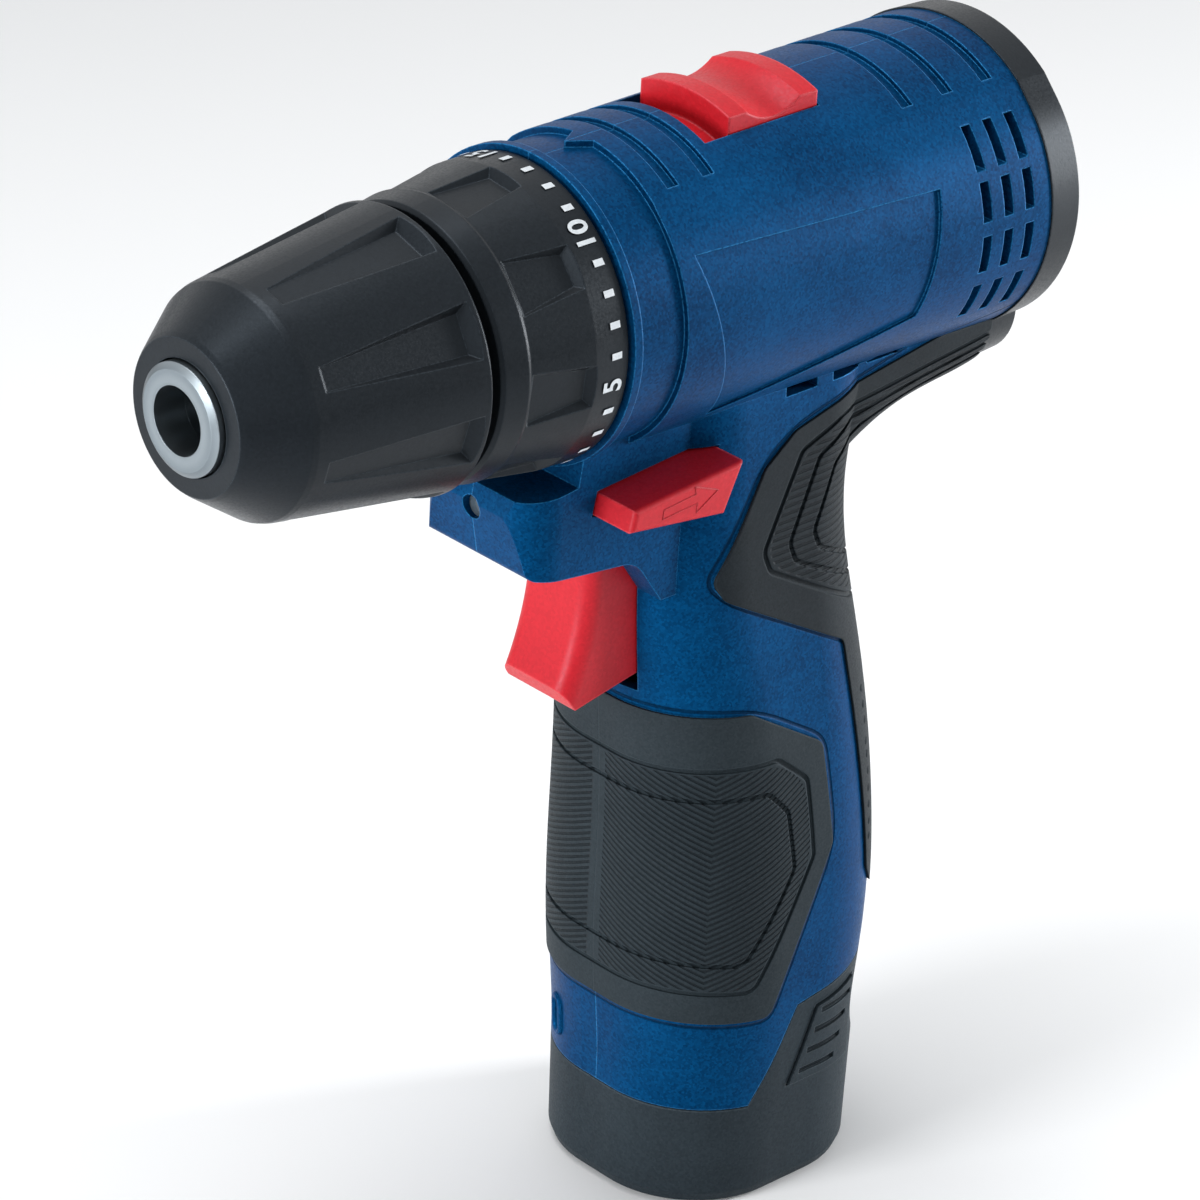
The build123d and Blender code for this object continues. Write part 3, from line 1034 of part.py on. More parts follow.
def grips():
    """Soft grips that fill shallow recesses round the handle, and the cutter for those recesses."""
    proud, floor = grip_solid(-GRIP_PROUD), grip_solid(GRIP_DEPTH)
    head = head_solid(HEAD_FRONT_X, HEAD_REAR_X, 0.0)
    front_zone = flank_prism(rounded_outline(FRONT_GRIP_OUTLINE))
    rear_zone = flank_prism(rounded_outline(REAR_GRIP_OUTLINE))
    skin = proud - floor
    front_pad = (skin & front_zone) - contour_grooves(FRONT_CONTOURS)
    rear_pad = (skin & rear_zone) - [head, contour_grooves(REAR_CONTOURS)]
    for name, pad in (("front_grip", front_pad), ("rear_grip", rear_pad)):
        parts[f"{name}_left"] = split(pad, Plane.XZ, keep=Keep.TOP)
        parts[f"{name}_right"] = split(pad, Plane.XZ, keep=Keep.BOTTOM) - screw_cuts()
    return [front_zone - floor, rear_zone - floor - head]


def head_front():
    """Front of the head: a rim behind the collar, a lower band and a pointer over the band for the scale."""
    band_rear = HEAD_FRONT_X + FRONT_BAND_LENGTH
    rim = rod(HEAD_FRONT_X, HEAD_FRONT_X + FRONT_RIM_LENGTH, FRONT_RIM_RADIUS)
    band = rod(HEAD_FRONT_X, band_rear + 1.0, FRONT_BAND_RADIUS)
    half = POINTER_WIDTH / 2
    tip = ((band_rear - POINTER_LENGTH, 0.0), (band_rear + 1.0, -half), (band_rear + 1.0, half))
    pointer = extrude(Pos(0, 0, AXIS_HEIGHT) * make_face(Polyline(*tip, close=True)), amount=REACH)
    return Pos(0, 0, AXIS_HEIGHT) * (rim + band) + (pointer & head_solid(HEAD_FRONT_X, HEAD_REAR_X, 0.0))


def housing():
    seam = Pos(0, 0, PARTING_GAP) * prism(SEAM_OUTLINE)
    outer = head_solid(HEAD_FRONT_X + FRONT_BAND_LENGTH, HEAD_REAR_X, 0.0) + head_front()
    outer = outer + grip_solid(0.0) + chin_solid(0.0) - seam
    cavity = head_solid(HEAD_FRONT_X + FRONT_WALL, HEAD_REAR_X, WALL) + grip_solid(WALL) + chin_solid(WALL)
    cavity = cavity + stem_solid(STEM_RADIUS + SLIP, STEM_FOOT_Z - 2, STEM_TOP_Z + SLIP)
    opening = rod(HEAD_FRONT_X - 1, HEAD_FRONT_X + 2 * FRONT_WALL, FRONT_OPENING_RADIUS)
    shell = outer - cavity - Pos(0, 0, AXIS_HEIGHT) * opening
    shell = shell + inner_ribs(cavity) + screw_bosses(outer)
    shell = shell - (relief_cuts() + vent_cuts() + control_cuts() + screw_cuts() + grips())
    parts["left_housing"] = split(shell, Plane.XZ, keep=Keep.TOP)
    parts["right_housing"] = split(shell, Plane.XZ, keep=Keep.BOTTOM)
    lens_front, lens_rear = [CHIN_FRONT_X + x for x in LED_SPAN]
    parts["led_lens"] = Pos(0, 0, LED_Z) * rod(lens_front, lens_rear, LED_RADIUS)


def rear_cap():
    """Cap with a bevelled rim, a spigot inside the shell and a socket for the motor's rear boss."""
    seam_x, back_x = HEAD_REAR_X, HEAD_REAR_X + CAP_LENGTH
    rim = [head_section(back_x - x, inset) for x, inset in CAP_RIM]
    lobe = [tail_section((back_x - x,) + TAIL_STATIONS[-1][1:], inset) for x, inset in CAP_LOBE]
    hollow = [head_section(back_x - x, WALL + inset) for x, inset in CAP_HOLLOW]
    outer = Part() + [loft(pair) for pair in zip(rim, rim[1:])]
    outer = outer + [Pos(0, 0, -AXIS_HEIGHT) * loft(pair) for pair in zip(lobe, lobe[1:])]
    outer = outer - [loft(pair) for pair in zip(hollow, hollow[1:])]
    fitted, seated, bore = WALL + PLAY, WALL - SLIP, WALL + CAP_SPIGOT_WALL
    spigot = loft([head_section(seam_x - CAP_SPIGOT, fitted), head_section(seam_x, fitted)])
    spigot = spigot + loft([head_section(seam_x, seated), head_section(seam_x + CAP_SPIGOT, seated)])
    spigot = spigot - loft([head_section(x, bore) for x in (seam_x - REACH, seam_x + REACH)])
    socket_x = HEAD_FRONT_X + MOTOR_REAR + BELL_THICKNESS + PLAY
    socket = tube(socket_x, seam_x + CAP_SOCKET_END, BELL_BOSS[1] + FIT, CAP_SOCKET_RADIUS)
    parts["rear_cap"] = Pos(0, 0, AXIS_HEIGHT) * (outer + spigot + socket)


chuck_body()
chuck_jaws()
chuck_nut_and_screw()
chuck_sleeve()
torque_collar()
clutch()
gear_case()
gears()
spindle()
motor_shell()
armature()
selector()
shift_fork()
trigger_and_switch()
direction_switch()
battery()
latches()
housing()
screws()
rear_cap()

os.makedirs("parts", exist_ok=True)
for name, solid in parts.items():
    export_step(solid, f"parts/{name}.step")
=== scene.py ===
# %% [markdown]
# # A cordless drill, dressed over its CAD model
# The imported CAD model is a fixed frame: every housing half, gear and button is already in its place, in
# metres. This lesson gives each of them a finish and adds the small things that are easier to draw as
# surfaces: the printed scale on the torque collar, the arrow on the direction switch, the strap eye and the
# studs of the rear grip. Nothing in the frame is moved.

import bpy
import numpy as np
from mathutils import Matrix, Vector


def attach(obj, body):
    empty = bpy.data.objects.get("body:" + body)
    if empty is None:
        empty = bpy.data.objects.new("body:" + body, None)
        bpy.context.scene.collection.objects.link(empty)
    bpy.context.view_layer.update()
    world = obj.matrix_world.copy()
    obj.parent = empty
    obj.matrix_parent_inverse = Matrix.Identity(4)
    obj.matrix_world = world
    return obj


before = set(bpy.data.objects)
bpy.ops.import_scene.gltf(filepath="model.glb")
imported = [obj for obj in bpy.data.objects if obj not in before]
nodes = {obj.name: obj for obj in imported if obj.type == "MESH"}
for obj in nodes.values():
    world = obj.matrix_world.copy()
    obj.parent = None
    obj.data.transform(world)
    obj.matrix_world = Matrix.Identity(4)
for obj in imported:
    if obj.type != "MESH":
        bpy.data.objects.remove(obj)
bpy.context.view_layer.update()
scene = bpy.context.scene
MM = 0.001
print("CAD nodes:", len(nodes))

# %% [markdown]
# ## Camera
# The photograph was taken from about a metre away with a long lens, from the drill's left front and above.
# A camera is a place, a direction and a lens: the direction comes from an azimuth and an elevation, and a
# roll of three degrees tilts the drill as it leans in the photograph. Building the matrix from three axes
# shows each of these at work.

# %% Camera
AZIMUTH, ELEVATION, ROLL = np.radians([-44.06, 27.18, 3.0])
TARGET = np.array([-29.4, 0.0, 111.5]) * MM
DISTANCE, FAR_CLIP = 0.95, 20.0
LENS_MM, SENSOR_MM = 177.0, 36.0

level_share = np.cos(ELEVATION)
back = np.array([np.sin(AZIMUTH) * level_share, -np.cos(AZIMUTH) * level_share, np.sin(ELEVATION)])
level = np.array([np.cos(AZIMUTH), np.sin(AZIMUTH), 0.0])
upright = np.cross(back, level)
right = np.cos(ROLL) * level + np.sin(ROLL) * upright
up = -np.sin(ROLL) * level + np.cos(ROLL) * upright
pose = np.eye(4)
pose[:3, :3] = np.column_stack([right, up, back])
pose[:3, 3] = TARGET + DISTANCE * back
camera = bpy.data.objects.new("camera", bpy.data.cameras.new("camera"))
camera.data.lens = LENS_MM
camera.data.sensor_width = SENSOR_MM
camera.data.clip_end = FAR_CLIP
camera.matrix_world = Matrix(pose.tolist())
scene.collection.objects.link(camera)
bpy.context.scene.camera = camera
print("camera stands", np.round(pose[:3, 3], 3), "m")

# %% [markdown]
# ## Lamps
# Dark plastic shows only what it reflects, so the places of the lamps matter more than their strength. In
# the photograph the faces that look forward and those that look back are bright and the left side between
# them is dark: one softbox stands in front, one behind, and a broad one hangs above. A weak one at the left
# keeps the side from going black. Each is an area lamp turned to face the drill.

# %% Softboxes
scene.view_settings.view_transform = "Standard"


def softbox(name, place, aim, size, power):
    """Area lamp at a place, turned so that its light falls on the aim point (millimetres, watts)."""
    lamp = bpy.data.lights.new(name, "AREA")
    lamp.shape = "RECTANGLE"
    lamp.size, lamp.size_y = size[0] * MM, size[1] * MM
    lamp.energy = power
    holder = bpy.data.objects.new(name, lamp)
    holder.location = Vector(place) * MM
    holder.rotation_euler = (Vector(aim) - Vector(place)).to_track_quat("-Z", "Y").to_euler()
    scene.collection.objects.link(holder)


softbox("top_softbox", (-120, 120, 900), (-20, 0, 130), (600, 420), 4.6)
softbox("front_softbox", (-900, 120, 260), (-40, 0, 130), (320, 420), 8.0)
softbox("rear_softbox", (760, -420, 260), (0, 0, 120), (220, 420), 8.5)
softbox("left_softbox", (-260, -900, 300), (-20, 0, 120), (420, 620), 0.35)

# %% [markdown]
# ## Colours and nodes
# Colours are written as sRGB hex codes, as one would pick them from a screen, and turned to the linear
# values that shaders work in. One helper adds a node, sets it and links it, so a finish reads as a list of
# its nodes.

# %% Helpers for every finish


def linear(code):
    """sRGB hex code to the linear colour that shaders work in: a straight line near black, a power above it."""
    value = np.array([int(code[i:i + 2], 16) for i in (1, 3, 5)]) / 255.0
    return (*np.where(value <= 0.04045, value / 12.92, ((value + 0.055) / 1.055) ** 2.4), 1.0)


def add(tree, kind, links=None, **settings):
    """Adds one node: keywords set its properties, and links gives each input a value or a node's output."""
    item = tree.nodes.new(kind)
    for key, value in settings.items():
        setattr(item, key, value)
    for key, value in (links or {}).items():
        if isinstance(value, bpy.types.NodeSocket):
            tree.links.new(value, item.inputs[key])
        else:
            item.inputs[key].default_value = value
    return item


print("middle grey is", np.round(linear("#808080")[0], 3))

# %% [markdown]
# ## World
# The world is a soft grey room, but the camera, and anything glossy or clear, sees it as white paper, so
# the picture gets a white background with no extra light on the drill.

# %% World
ROOM_LIGHT = 0.3

world = bpy.data.worlds.new("studio")
scene.world = world
world.use_nodes = True
sky = world.node_tree
sky.nodes.clear()
rays = add(sky, "ShaderNodeLightPath").outputs
seen = add(sky, "ShaderNodeMath", {0: rays["Is Camera Ray"], 1: rays["Is Glossy Ray"]}, operation="MAXIMUM")
seen = add(sky, "ShaderNodeMath", {0: seen.outputs[0], 1: rays["Is Transmission Ray"]}, operation="MAXIMUM")
room = add(sky, "ShaderNodeBackground", {"Color": linear("#F4F6F8"), "Strength": ROOM_LIGHT})
white = add(sky, "ShaderNodeBackground", {"Color": linear("#FFFFFF"), "Strength": 1.0})
blend = add(sky, "ShaderNodeMixShader", {0: seen.outputs[0], 1: room.outputs[0], 2: white.outputs[0]})
add(sky, "ShaderNodeOutputWorld", {0: blend.outputs[0]})
print("world nodes:", len(sky.nodes))

# %% [markdown]
# ## Floor
# The drill stands on matt white paper: one plain square that reaches far past the picture and takes the
# shadow.

# %% Floor
FLOOR_HALF = 4.0
PAPER_ROUGHNESS = 0.9

floor_mesh = bpy.data.meshes.new("floor")
corners = np.array([[-1, -1, 0], [1, -1, 0], [1, 1, 0], [-1, 1, 0]]) * FLOOR_HALF
floor_mesh.from_pydata(corners.tolist(), [], [(0, 1, 2, 3)])
floor = bpy.data.objects.new("floor", floor_mesh)
scene.collection.objects.link(floor)
paper = bpy.data.materials.new("white_paper_floor")
paper.use_nodes = True
paper.node_tree.nodes["Principled BSDF"].inputs["Base Color"].default_value = linear("#F7F8F9")
paper.node_tree.nodes["Principled BSDF"].inputs["Roughness"].default_value = PAPER_ROUGHNESS
floor_mesh.materials.append(paper)
print("floor:", 2 * FLOOR_HALF, "m wide")

# %% [markdown]
# ## Relief that is too fine for the CAD model
# The soft grips carry ribs about a millimetre apart, and a fine groove runs round each grip in the blue
# shell. Ribs like these could be modelled, but hundreds of them would only add faces, so they are drawn in
# the shading, as bumps with painted shade in their valleys. Where they may appear is a question of
# distance: how far does a point lie inside an outline seen from the side? For an outline that bulges
# everywhere, that is the least of its distances from the edges. The ribs themselves are a cosine wave along
# some way over the surface.

# %% Fields in a side-view outline
CORNER_MM = 4.0
RIB_SHARP, LATCH_SHARP = (-0.2, 0.9), (0.5, 0.75)
RIB_MARGIN, LATCH_MARGIN = (0.5, 0.8), (0.0, 0.3)


def inside(tree, place, outline):
    """Metres that a point lies inside a convex side-view outline of (x, z) corners in millimetres: the least of
    its distances from the edges, blended over CORNER_MM where two are close, so that corners come out round. It
    is negative outside. The corners run clockwise seen from the left."""
    points = np.array(outline) * MM
    along = np.roll(points, -1, axis=0) - points
    inward = np.column_stack([along[:, 1], -along[:, 0]]) / np.linalg.norm(along, axis=1)[:, None]
    nearest = None
    for point, normal in zip(points, inward):
        reach = add(tree, "ShaderNodeVectorMath", {0: place, 1: (normal[0], 0.0, normal[1])},
                    operation="DOT_PRODUCT").outputs["Value"]
        depth = add(tree, "ShaderNodeMath", {0: reach, 1: float(point @ normal)},
                    operation="SUBTRACT").outputs[0]
        if nearest is not None:
            depth = add(tree, "ShaderNodeMath", {0: nearest, 1: depth, 2: CORNER_MM * MM},
                        operation="SMOOTH_MIN").outputs[0]
        nearest = depth
    return nearest


def valleys(tree, place, outline, travel, pitch_mm, first_mm=0.0, sharp=RIB_SHARP, margin_mm=RIB_MARGIN):
    """Valleys of a cosine wave along a travel in metres, one at first_mm and the rest pitch_mm apart, inside an
    outline: 1 in a valley, 0 on a rib and outside. The two values of sharp say how high on the wave a valley
    begins and is full, and those of margin_mm how far inside the outline."""
    turn = 2.0 * np.pi / (pitch_mm * MM)
    angle = add(tree, "ShaderNodeMath", {0: travel, 1: turn, 2: -turn * first_mm * MM},
                operation="MULTIPLY_ADD").outputs[0]
    wave = add(tree, "ShaderNodeMath", {0: angle}, operation="COSINE").outputs[0]
    valley = add(tree, "ShaderNodeMapRange", {"Value": wave, "From Min": sharp[0], "From Max": sharp[1]},
                 interpolation_type="SMOOTHSTEP").outputs[0]
    field = add(tree, "ShaderNodeMapRange", {"Value": inside(tree, place, outline),
                                             "From Min": margin_mm[0] * MM, "From Max": margin_mm[1] * MM},
                interpolation_type="SMOOTHSTEP").outputs[0]
    return add(tree, "ShaderNodeMath", {0: valley, 1: field}, operation="MULTIPLY").outputs[0]


print("outlines' corners are rounded over", CORNER_MM, "mm")

# %% [markdown]
# The front grip's ribs zigzag round the handle like a herringbone: from the front they fall, and behind a
# fold at the corner they rise again. Round a nearly round handle the way travelled is an angle times a
# radius, and the zigzag is its distance from the fold. A plain stripe runs down the front, where the two
# halves of the grip meet. The rear grip's ribs and the latch's finger grooves are level, so their way is
# simply the height.

# %% Ribs of the grips, grooves of the latch
FRONT_RIBS = ((-45.0, 84.5), (-9.0, 85.0), (-2.4, 79.6), (-0.6, 65.0), (-12.0, 42.5), (-45.0, 44.0))
REAR_RIBS = ((45.0, 92.0), (10.5, 107.0), (-10.0, 118.2), (-11.6, 122.0), (-3.4, 137.6), (6.0, 141.0),
             (45.0, 145.5))
LATCH_GROOVES = ((-1.1, 20.4), (5.1, 36.2), (13.6, 36.2), (7.4, 20.4))
FRONT_PITCH, REAR_PITCH, LATCH_PITCH = 1.1, 1.3, 3.55
LATCH_FIRST_Z = 22.8
HANDLE_X, HANDLE_R = -1.0, 24.0
FOLD_DEG = 46.0
RIB_SLOPE = 0.55
STRIPE_MM, STRIPE_EDGE_MM = 1.5, 0.2


def front_ribs(tree, place):
    """Herringbone valleys: height less slope times the zigzag way round the handle, inside the front outline
    and off the plain stripe."""
    axes = add(tree, "ShaderNodeSeparateXYZ", {0: place}).outputs
    side = add(tree, "ShaderNodeMath", {0: axes["Y"]}, operation="ABSOLUTE").outputs[0]
    ahead = add(tree, "ShaderNodeMath", {0: HANDLE_X * MM, 1: axes["X"]}, operation="SUBTRACT").outputs[0]
    angle = add(tree, "ShaderNodeMath", {0: side, 1: ahead}, operation="ARCTAN2").outputs[0]
    way = add(tree, "ShaderNodeMath", {0: angle, 1: HANDLE_R * MM}, operation="MULTIPLY").outputs[0]
    fold = float(np.radians(FOLD_DEG) * HANDLE_R * MM)
    past = add(tree, "ShaderNodeMath", {0: way, 1: fold}, operation="SUBTRACT").outputs[0]
    zigzag = add(tree, "ShaderNodeMath", {0: past}, operation="ABSOLUTE").outputs[0]
    travel = add(tree, "ShaderNodeMath", {0: zigzag, 1: -RIB_SLOPE, 2: axes["Z"]},
                 operation="MULTIPLY_ADD").outputs[0]
    off_stripe = add(tree, "ShaderNodeMapRange", {"Value": way, "From Min": (STRIPE_MM - STRIPE_EDGE_MM) * MM,
                                                  "From Max": STRIPE_MM * MM},
                     interpolation_type="SMOOTHSTEP").outputs[0]
    valley = valleys(tree, place, FRONT_RIBS, travel, FRONT_PITCH)
    return add(tree, "ShaderNodeMath", {0: valley, 1: off_stripe}, operation="MULTIPLY").outputs[0]


def rear_ribs(tree, place):
    """Level valleys inside the rear grip's outermost pressed line."""
    height = add(tree, "ShaderNodeSeparateXYZ", {0: place}).outputs["Z"]
    return valleys(tree, place, REAR_RIBS, height, REAR_PITCH)


def latch_grooves(tree, place):
    """The latch's four finger grooves, whose floors are painted darker as shade: level valleys between two
    slanting lines.
    """
    height = add(tree, "ShaderNodeSeparateXYZ", {0: place}).outputs["Z"]
    return valleys(tree, place, LATCH_GROOVES, height, LATCH_PITCH, LATCH_FIRST_Z, LATCH_SHARP, LATCH_MARGIN)


print("rib pitches:", FRONT_PITCH, "and", REAR_PITCH, "mm")

# %% [markdown]
# The groove in the blue shell follows each grip at a fixed distance. Where a point lies that far outside
# the grip's outline, the groove is deepest, and it fades out to both sides.

# %% Grooves of the shell
FRONT_GRIP = ((-45.0, 96.0), (-14.0, 94.2), (1.2, 85.0), (3.8, 66.0), (-8.4, 36.6), (-45.0, 37.6))
REAR_GRIP = ((45.0, 80.2), (7.4, 100.8), (-19.2, 115.4), (-21.4, 118.8), (-11.5, 136.6), (-4.9, 141.3),
             (45.0, 152.0))
GROOVE_AWAY, GROOVE_HALF = 1.0, 0.4
GROOVE_FLOOR = 0.3


def shell_grooves(tree, place):
    """One fine groove round each grip: 0 from GROOVE_HALF on to either side of the line that runs GROOVE_AWAY
    outside the outline, and 1 within GROOVE_FLOOR of that half width."""
    grooves = []
    for outline in (FRONT_GRIP, REAR_GRIP):
        offset = add(tree, "ShaderNodeMath", {0: inside(tree, place, outline), 1: GROOVE_AWAY * MM},
                     operation="ADD").outputs[0]
        offset = add(tree, "ShaderNodeMath", {0: offset}, operation="ABSOLUTE").outputs[0]
        groove = add(tree, "ShaderNodeMapRange", {"Value": offset, "From Min": GROOVE_HALF * MM,
                                                  "From Max": GROOVE_FLOOR * (GROOVE_HALF * MM)},
                     interpolation_type="SMOOTHSTEP").outputs[0]
        grooves.append(groove)
    return add(tree, "ShaderNodeMath", {0: grooves[0], 1: grooves[1]}, operation="MAXIMUM").outputs[0]


print("groove:", 2 * GROOVE_HALF, "mm wide")

# %% [markdown]
# ## Moulded plastics and rubbers
# A moulded part copies the grain that was eroded into its steel mould, about a hundredth of a millimetre
# deep. Noise on object coordinates gives that grain a size in millimetres. The colour is never quite even
# either: a slow noise lets it drift, and small cells stand for flakes of pigment, each a little lighter or
# darker than the next. Edges get a painted highlight, a paler tone broken up by the grain, and they are
# found by comparing the true normal with one that has been rounded off. A Mix node has sockets for each
# kind of data, so the ones for colours are reached by number.

# %% One recipe for a moulded surface
MM_PER_M = 1000.0
MIX_SHARE, MIX_FROM, MIX_TO, MIX_RESULT = 0, 6, 7, 2
DRIFT_MM = 16.0
FLAKE_WEIGHT, FLECK_RANGE = 0.8, (0.3, 1.5)
EDGE_AGREE, HIGHLIGHT_GRAIN = (0.97, 0.85), (0.2, 0.6)
GRAIN_STRENGTH, GRAIN_RANGE = 0.7, (0.3, 0.7)
VALLEY_SHADE, VALLEY_SHADE_TONE = 0.6, "#04070A"
DULLER, GLOSSIER = 0.08, 0.06


def moulded(name, tone, second, roughness, grain_mm, grain_depth_mm, edge_highlight_tone=None, relief=None,
            relief_depth_mm=0.25, edge_mm=0.4, shine=0.14, glint="#C8D8E8", metallic=0.0, coat=0.0):
    """Moulded plastic: flecks of two tones, a mould grain of grain_mm that is grain_depth_mm deep, a painted
    highlight in a paler tone on edges rounded by edge_mm, and a relief field whose valleys are relief_depth_mm
    deep and painted darker as shade. Shine and glint are the strength and the tint of what it reflects."""
    material = bpy.data.materials.new(name)
    material.use_nodes = True
    tree = material.node_tree
    shader = tree.nodes["Principled BSDF"]
    place = add(tree, "ShaderNodeTexCoord").outputs["Object"]
    drift = add(tree, "ShaderNodeTexNoise", {"Vector": place, "Scale": MM_PER_M / DRIFT_MM,
                                             "Detail": 2.0}).outputs[0]
    grain = add(tree, "ShaderNodeTexNoise", {"Vector": place, "Scale": MM_PER_M / grain_mm,
                                             "Detail": 1.0}).outputs[0]
    flakes = add(tree, "ShaderNodeTexVoronoi", {"Vector": place,
                                                "Scale": MM_PER_M / grain_mm}).outputs["Color"]
    spread = add(tree, "ShaderNodeMath", {0: flakes, 1: FLAKE_WEIGHT, 2: drift},
                 operation="MULTIPLY_ADD").outputs[0]
    spread = add(tree, "ShaderNodeMapRange", {"Value": spread, "From Min": FLECK_RANGE[0],
                                              "From Max": FLECK_RANGE[1]}).outputs[0]
    colour = add(tree, "ShaderNodeMix", {MIX_SHARE: spread, MIX_FROM: linear(tone), MIX_TO: linear(second)},
                 data_type="RGBA").outputs[MIX_RESULT]
    rounded = add(tree, "ShaderNodeBevel", {"Radius": edge_mm * MM}, samples=6).outputs[0]
    sharp = add(tree, "ShaderNodeNewGeometry").outputs["Normal"]
    agree = add(tree, "ShaderNodeVectorMath", {0: rounded, 1: sharp}, operation="DOT_PRODUCT").outputs["Value"]
    edge = add(tree, "ShaderNodeMapRange", {"Value": agree, "From Min": EDGE_AGREE[0],
                                            "From Max": EDGE_AGREE[1]},
               interpolation_type="SMOOTHSTEP").outputs[0]
    # Painted highlight: a paler tone on the edges, broken up by the grain, stands in for light caught by them.
    patchy = add(tree, "ShaderNodeMapRange", {"Value": grain, "From Min": HIGHLIGHT_GRAIN[0],
                                              "From Max": HIGHLIGHT_GRAIN[1]},
                 interpolation_type="SMOOTHSTEP").outputs[0]
    highlit_edge = add(tree, "ShaderNodeMath", {0: edge, 1: patchy}, operation="MULTIPLY").outputs[0]
    colour = add(tree, "ShaderNodeMix", {MIX_SHARE: highlit_edge, MIX_FROM: colour, MIX_TO: linear(edge_highlight_tone or second)},
                 data_type="RGBA").outputs[MIX_RESULT]
    normal = add(tree, "ShaderNodeBump", {"Height": grain, "Distance": grain_depth_mm * MM,
                                          "Strength": GRAIN_STRENGTH, "Normal": rounded}).outputs[0]
    if relief:
        valley = relief(tree, place)
        normal = add(tree, "ShaderNodeBump", {"Height": valley, "Distance": relief_depth_mm * MM,
                                              "Normal": normal}, invert=True).outputs[0]
        # Painted shade: the relief's valleys are painted towards a near-black tone.
        shaded = add(tree, "ShaderNodeMath", {0: valley, 1: VALLEY_SHADE}, operation="MULTIPLY").outputs[0]
        colour = add(tree, "ShaderNodeMix", {MIX_SHARE: shaded, MIX_FROM: colour,
                                             MIX_TO: linear(VALLEY_SHADE_TONE)},
                     data_type="RGBA").outputs[MIX_RESULT]
    dull = add(tree, "ShaderNodeMapRange", {"Value": grain, "From Min": GRAIN_RANGE[0],
                                            "From Max": GRAIN_RANGE[1], "To Min": roughness - GLOSSIER,
                                            "To Max": roughness + DULLER}).outputs[0]
    tree.links.new(colour, shader.inputs["Base Color"])
    tree.links.new(dull, shader.inputs["Roughness"])
    tree.links.new(normal, shader.inputs["Normal"])
    shader.inputs["Specular IOR Level"].default_value = shine
    shader.inputs["Specular Tint"].default_value = linear(glint)
    shader.inputs["Metallic"].default_value = metallic
    shader.inputs["Coat Weight"].default_value = coat
    return material


print("a moulded colour drifts over", DRIFT_MM, "mm")

# %% [markdown]
# Each row below gives a name, two tones, a roughness, and the size and depth of the grain in millimetres.
# What sets the plastic apart from the others follows by name.

# %% Plastics and rubbers of the drill
finishes = {
    # Metallic-pigmented ABS: flakes give it a satin sheen. They are drawn coarser than the real ones of 0.05 mm.
    "blue_abs": moulded("metallic_blue_abs", "#012547", "#054A7B", 0.36, 0.4, 0.008, edge_highlight_tone="#2F82BD",
                        relief=shell_grooves, relief_depth_mm=0.2, shine=0.1, glint="#2E7FC4", metallic=0.2),
    # Glass-filled nylon: hard, black, with a faint silky grain.
    "black_nylon": moulded("black_glass_filled_nylon", "#0D1013", "#171B1F", 0.34, 0.4, 0.012, edge_highlight_tone="#3C444B",
                           shine=0.25),
    # Thermoplastic rubber: dull, with a painted highlight of a lighter tone on its edges.
    "front_rubber": moulded("herringbone_ribbed_rubber", "#1F262A", "#2D353A", 0.6, 0.35, 0.015,
                            edge_highlight_tone="#364046", relief=front_ribs),
    "rear_rubber": moulded("level_ribbed_rubber", "#14181B", "#20262A", 0.58, 0.35, 0.015, edge_highlight_tone="#2C3439",
                           relief=rear_ribs),
    # Spark-eroded texture of the battery's ABS: a coarser, duller grain. Its edges are rounded wider, and so is
    # their painted highlight.
    "battery_abs": moulded("spark_textured_grey_abs", "#1E252A", "#2C353B", 0.52, 0.4, 0.02, edge_highlight_tone="#4A545B",
                           edge_mm=0.7),
    "latch_abs": moulded("spark_textured_latch_abs", "#1E252A", "#2C353B", 0.52, 0.4, 0.02, edge_highlight_tone="#4A545B",
                         relief=latch_grooves, relief_depth_mm=0.2),
    # Red acetal of the controls: smooth and a little waxy.
    "red_acetal": moulded("red_acetal", "#B0141E", "#C81E29", 0.42, 0.5, 0.006, edge_highlight_tone="#E0525A", edge_mm=0.6,
                          shine=0.3),
    # Undyed nylon of the hidden frames.
    "grey_nylon": moulded("grey_nylon", "#3A3D40", "#4A4E52", 0.5, 0.5, 0.02),
    # Clear acrylic of the lamp's lens, painted dark grey: painted shade of its recess and of the unlit lamp
    # behind it.
    "lens": moulded("shade_darkened_acrylic_lens", "#39434B", "#4A555E", 0.12, 1.0, 0.002, coat=0.6),
    # Sintered ferrite: a dull grey ceramic.
    "ferrite": moulded("pressed_ferrite", "#2B2B2E", "#3A3A3E", 0.6, 0.3, 0.03),
    # Shrink sleeve of a cell: thin green film.
    "cell_wrap": moulded("green_shrink_film", "#2A6A5E", "#3A8674", 0.36, 2.0, 0.01),
}
print("plastics:", len(finishes))

# %% [markdown]
# ## Metals
# Turned steel carries fine rings left by the tool. Rings about the spindle are a wave of the distance from
# that axis, so the coordinates are first shifted to it. A metal needs little colour, only a roughness that
# follows the rings. Real tool marks are a tenth of a millimetre apart; they are drawn at two to four
# millimetres, as soft bands that the camera can see. Blender's wave turns by 20 radians in a unit of its
# scaled coordinates.

# %% One recipe for a turned metal
AXIS_Z = 169.0
WAVE_RATE, WAVE_WANDER = 20.0, 0.6
METAL_EDGE_MM = 0.2
RING_DEPTH_MM, RING_STRENGTH = 0.004, 0.4


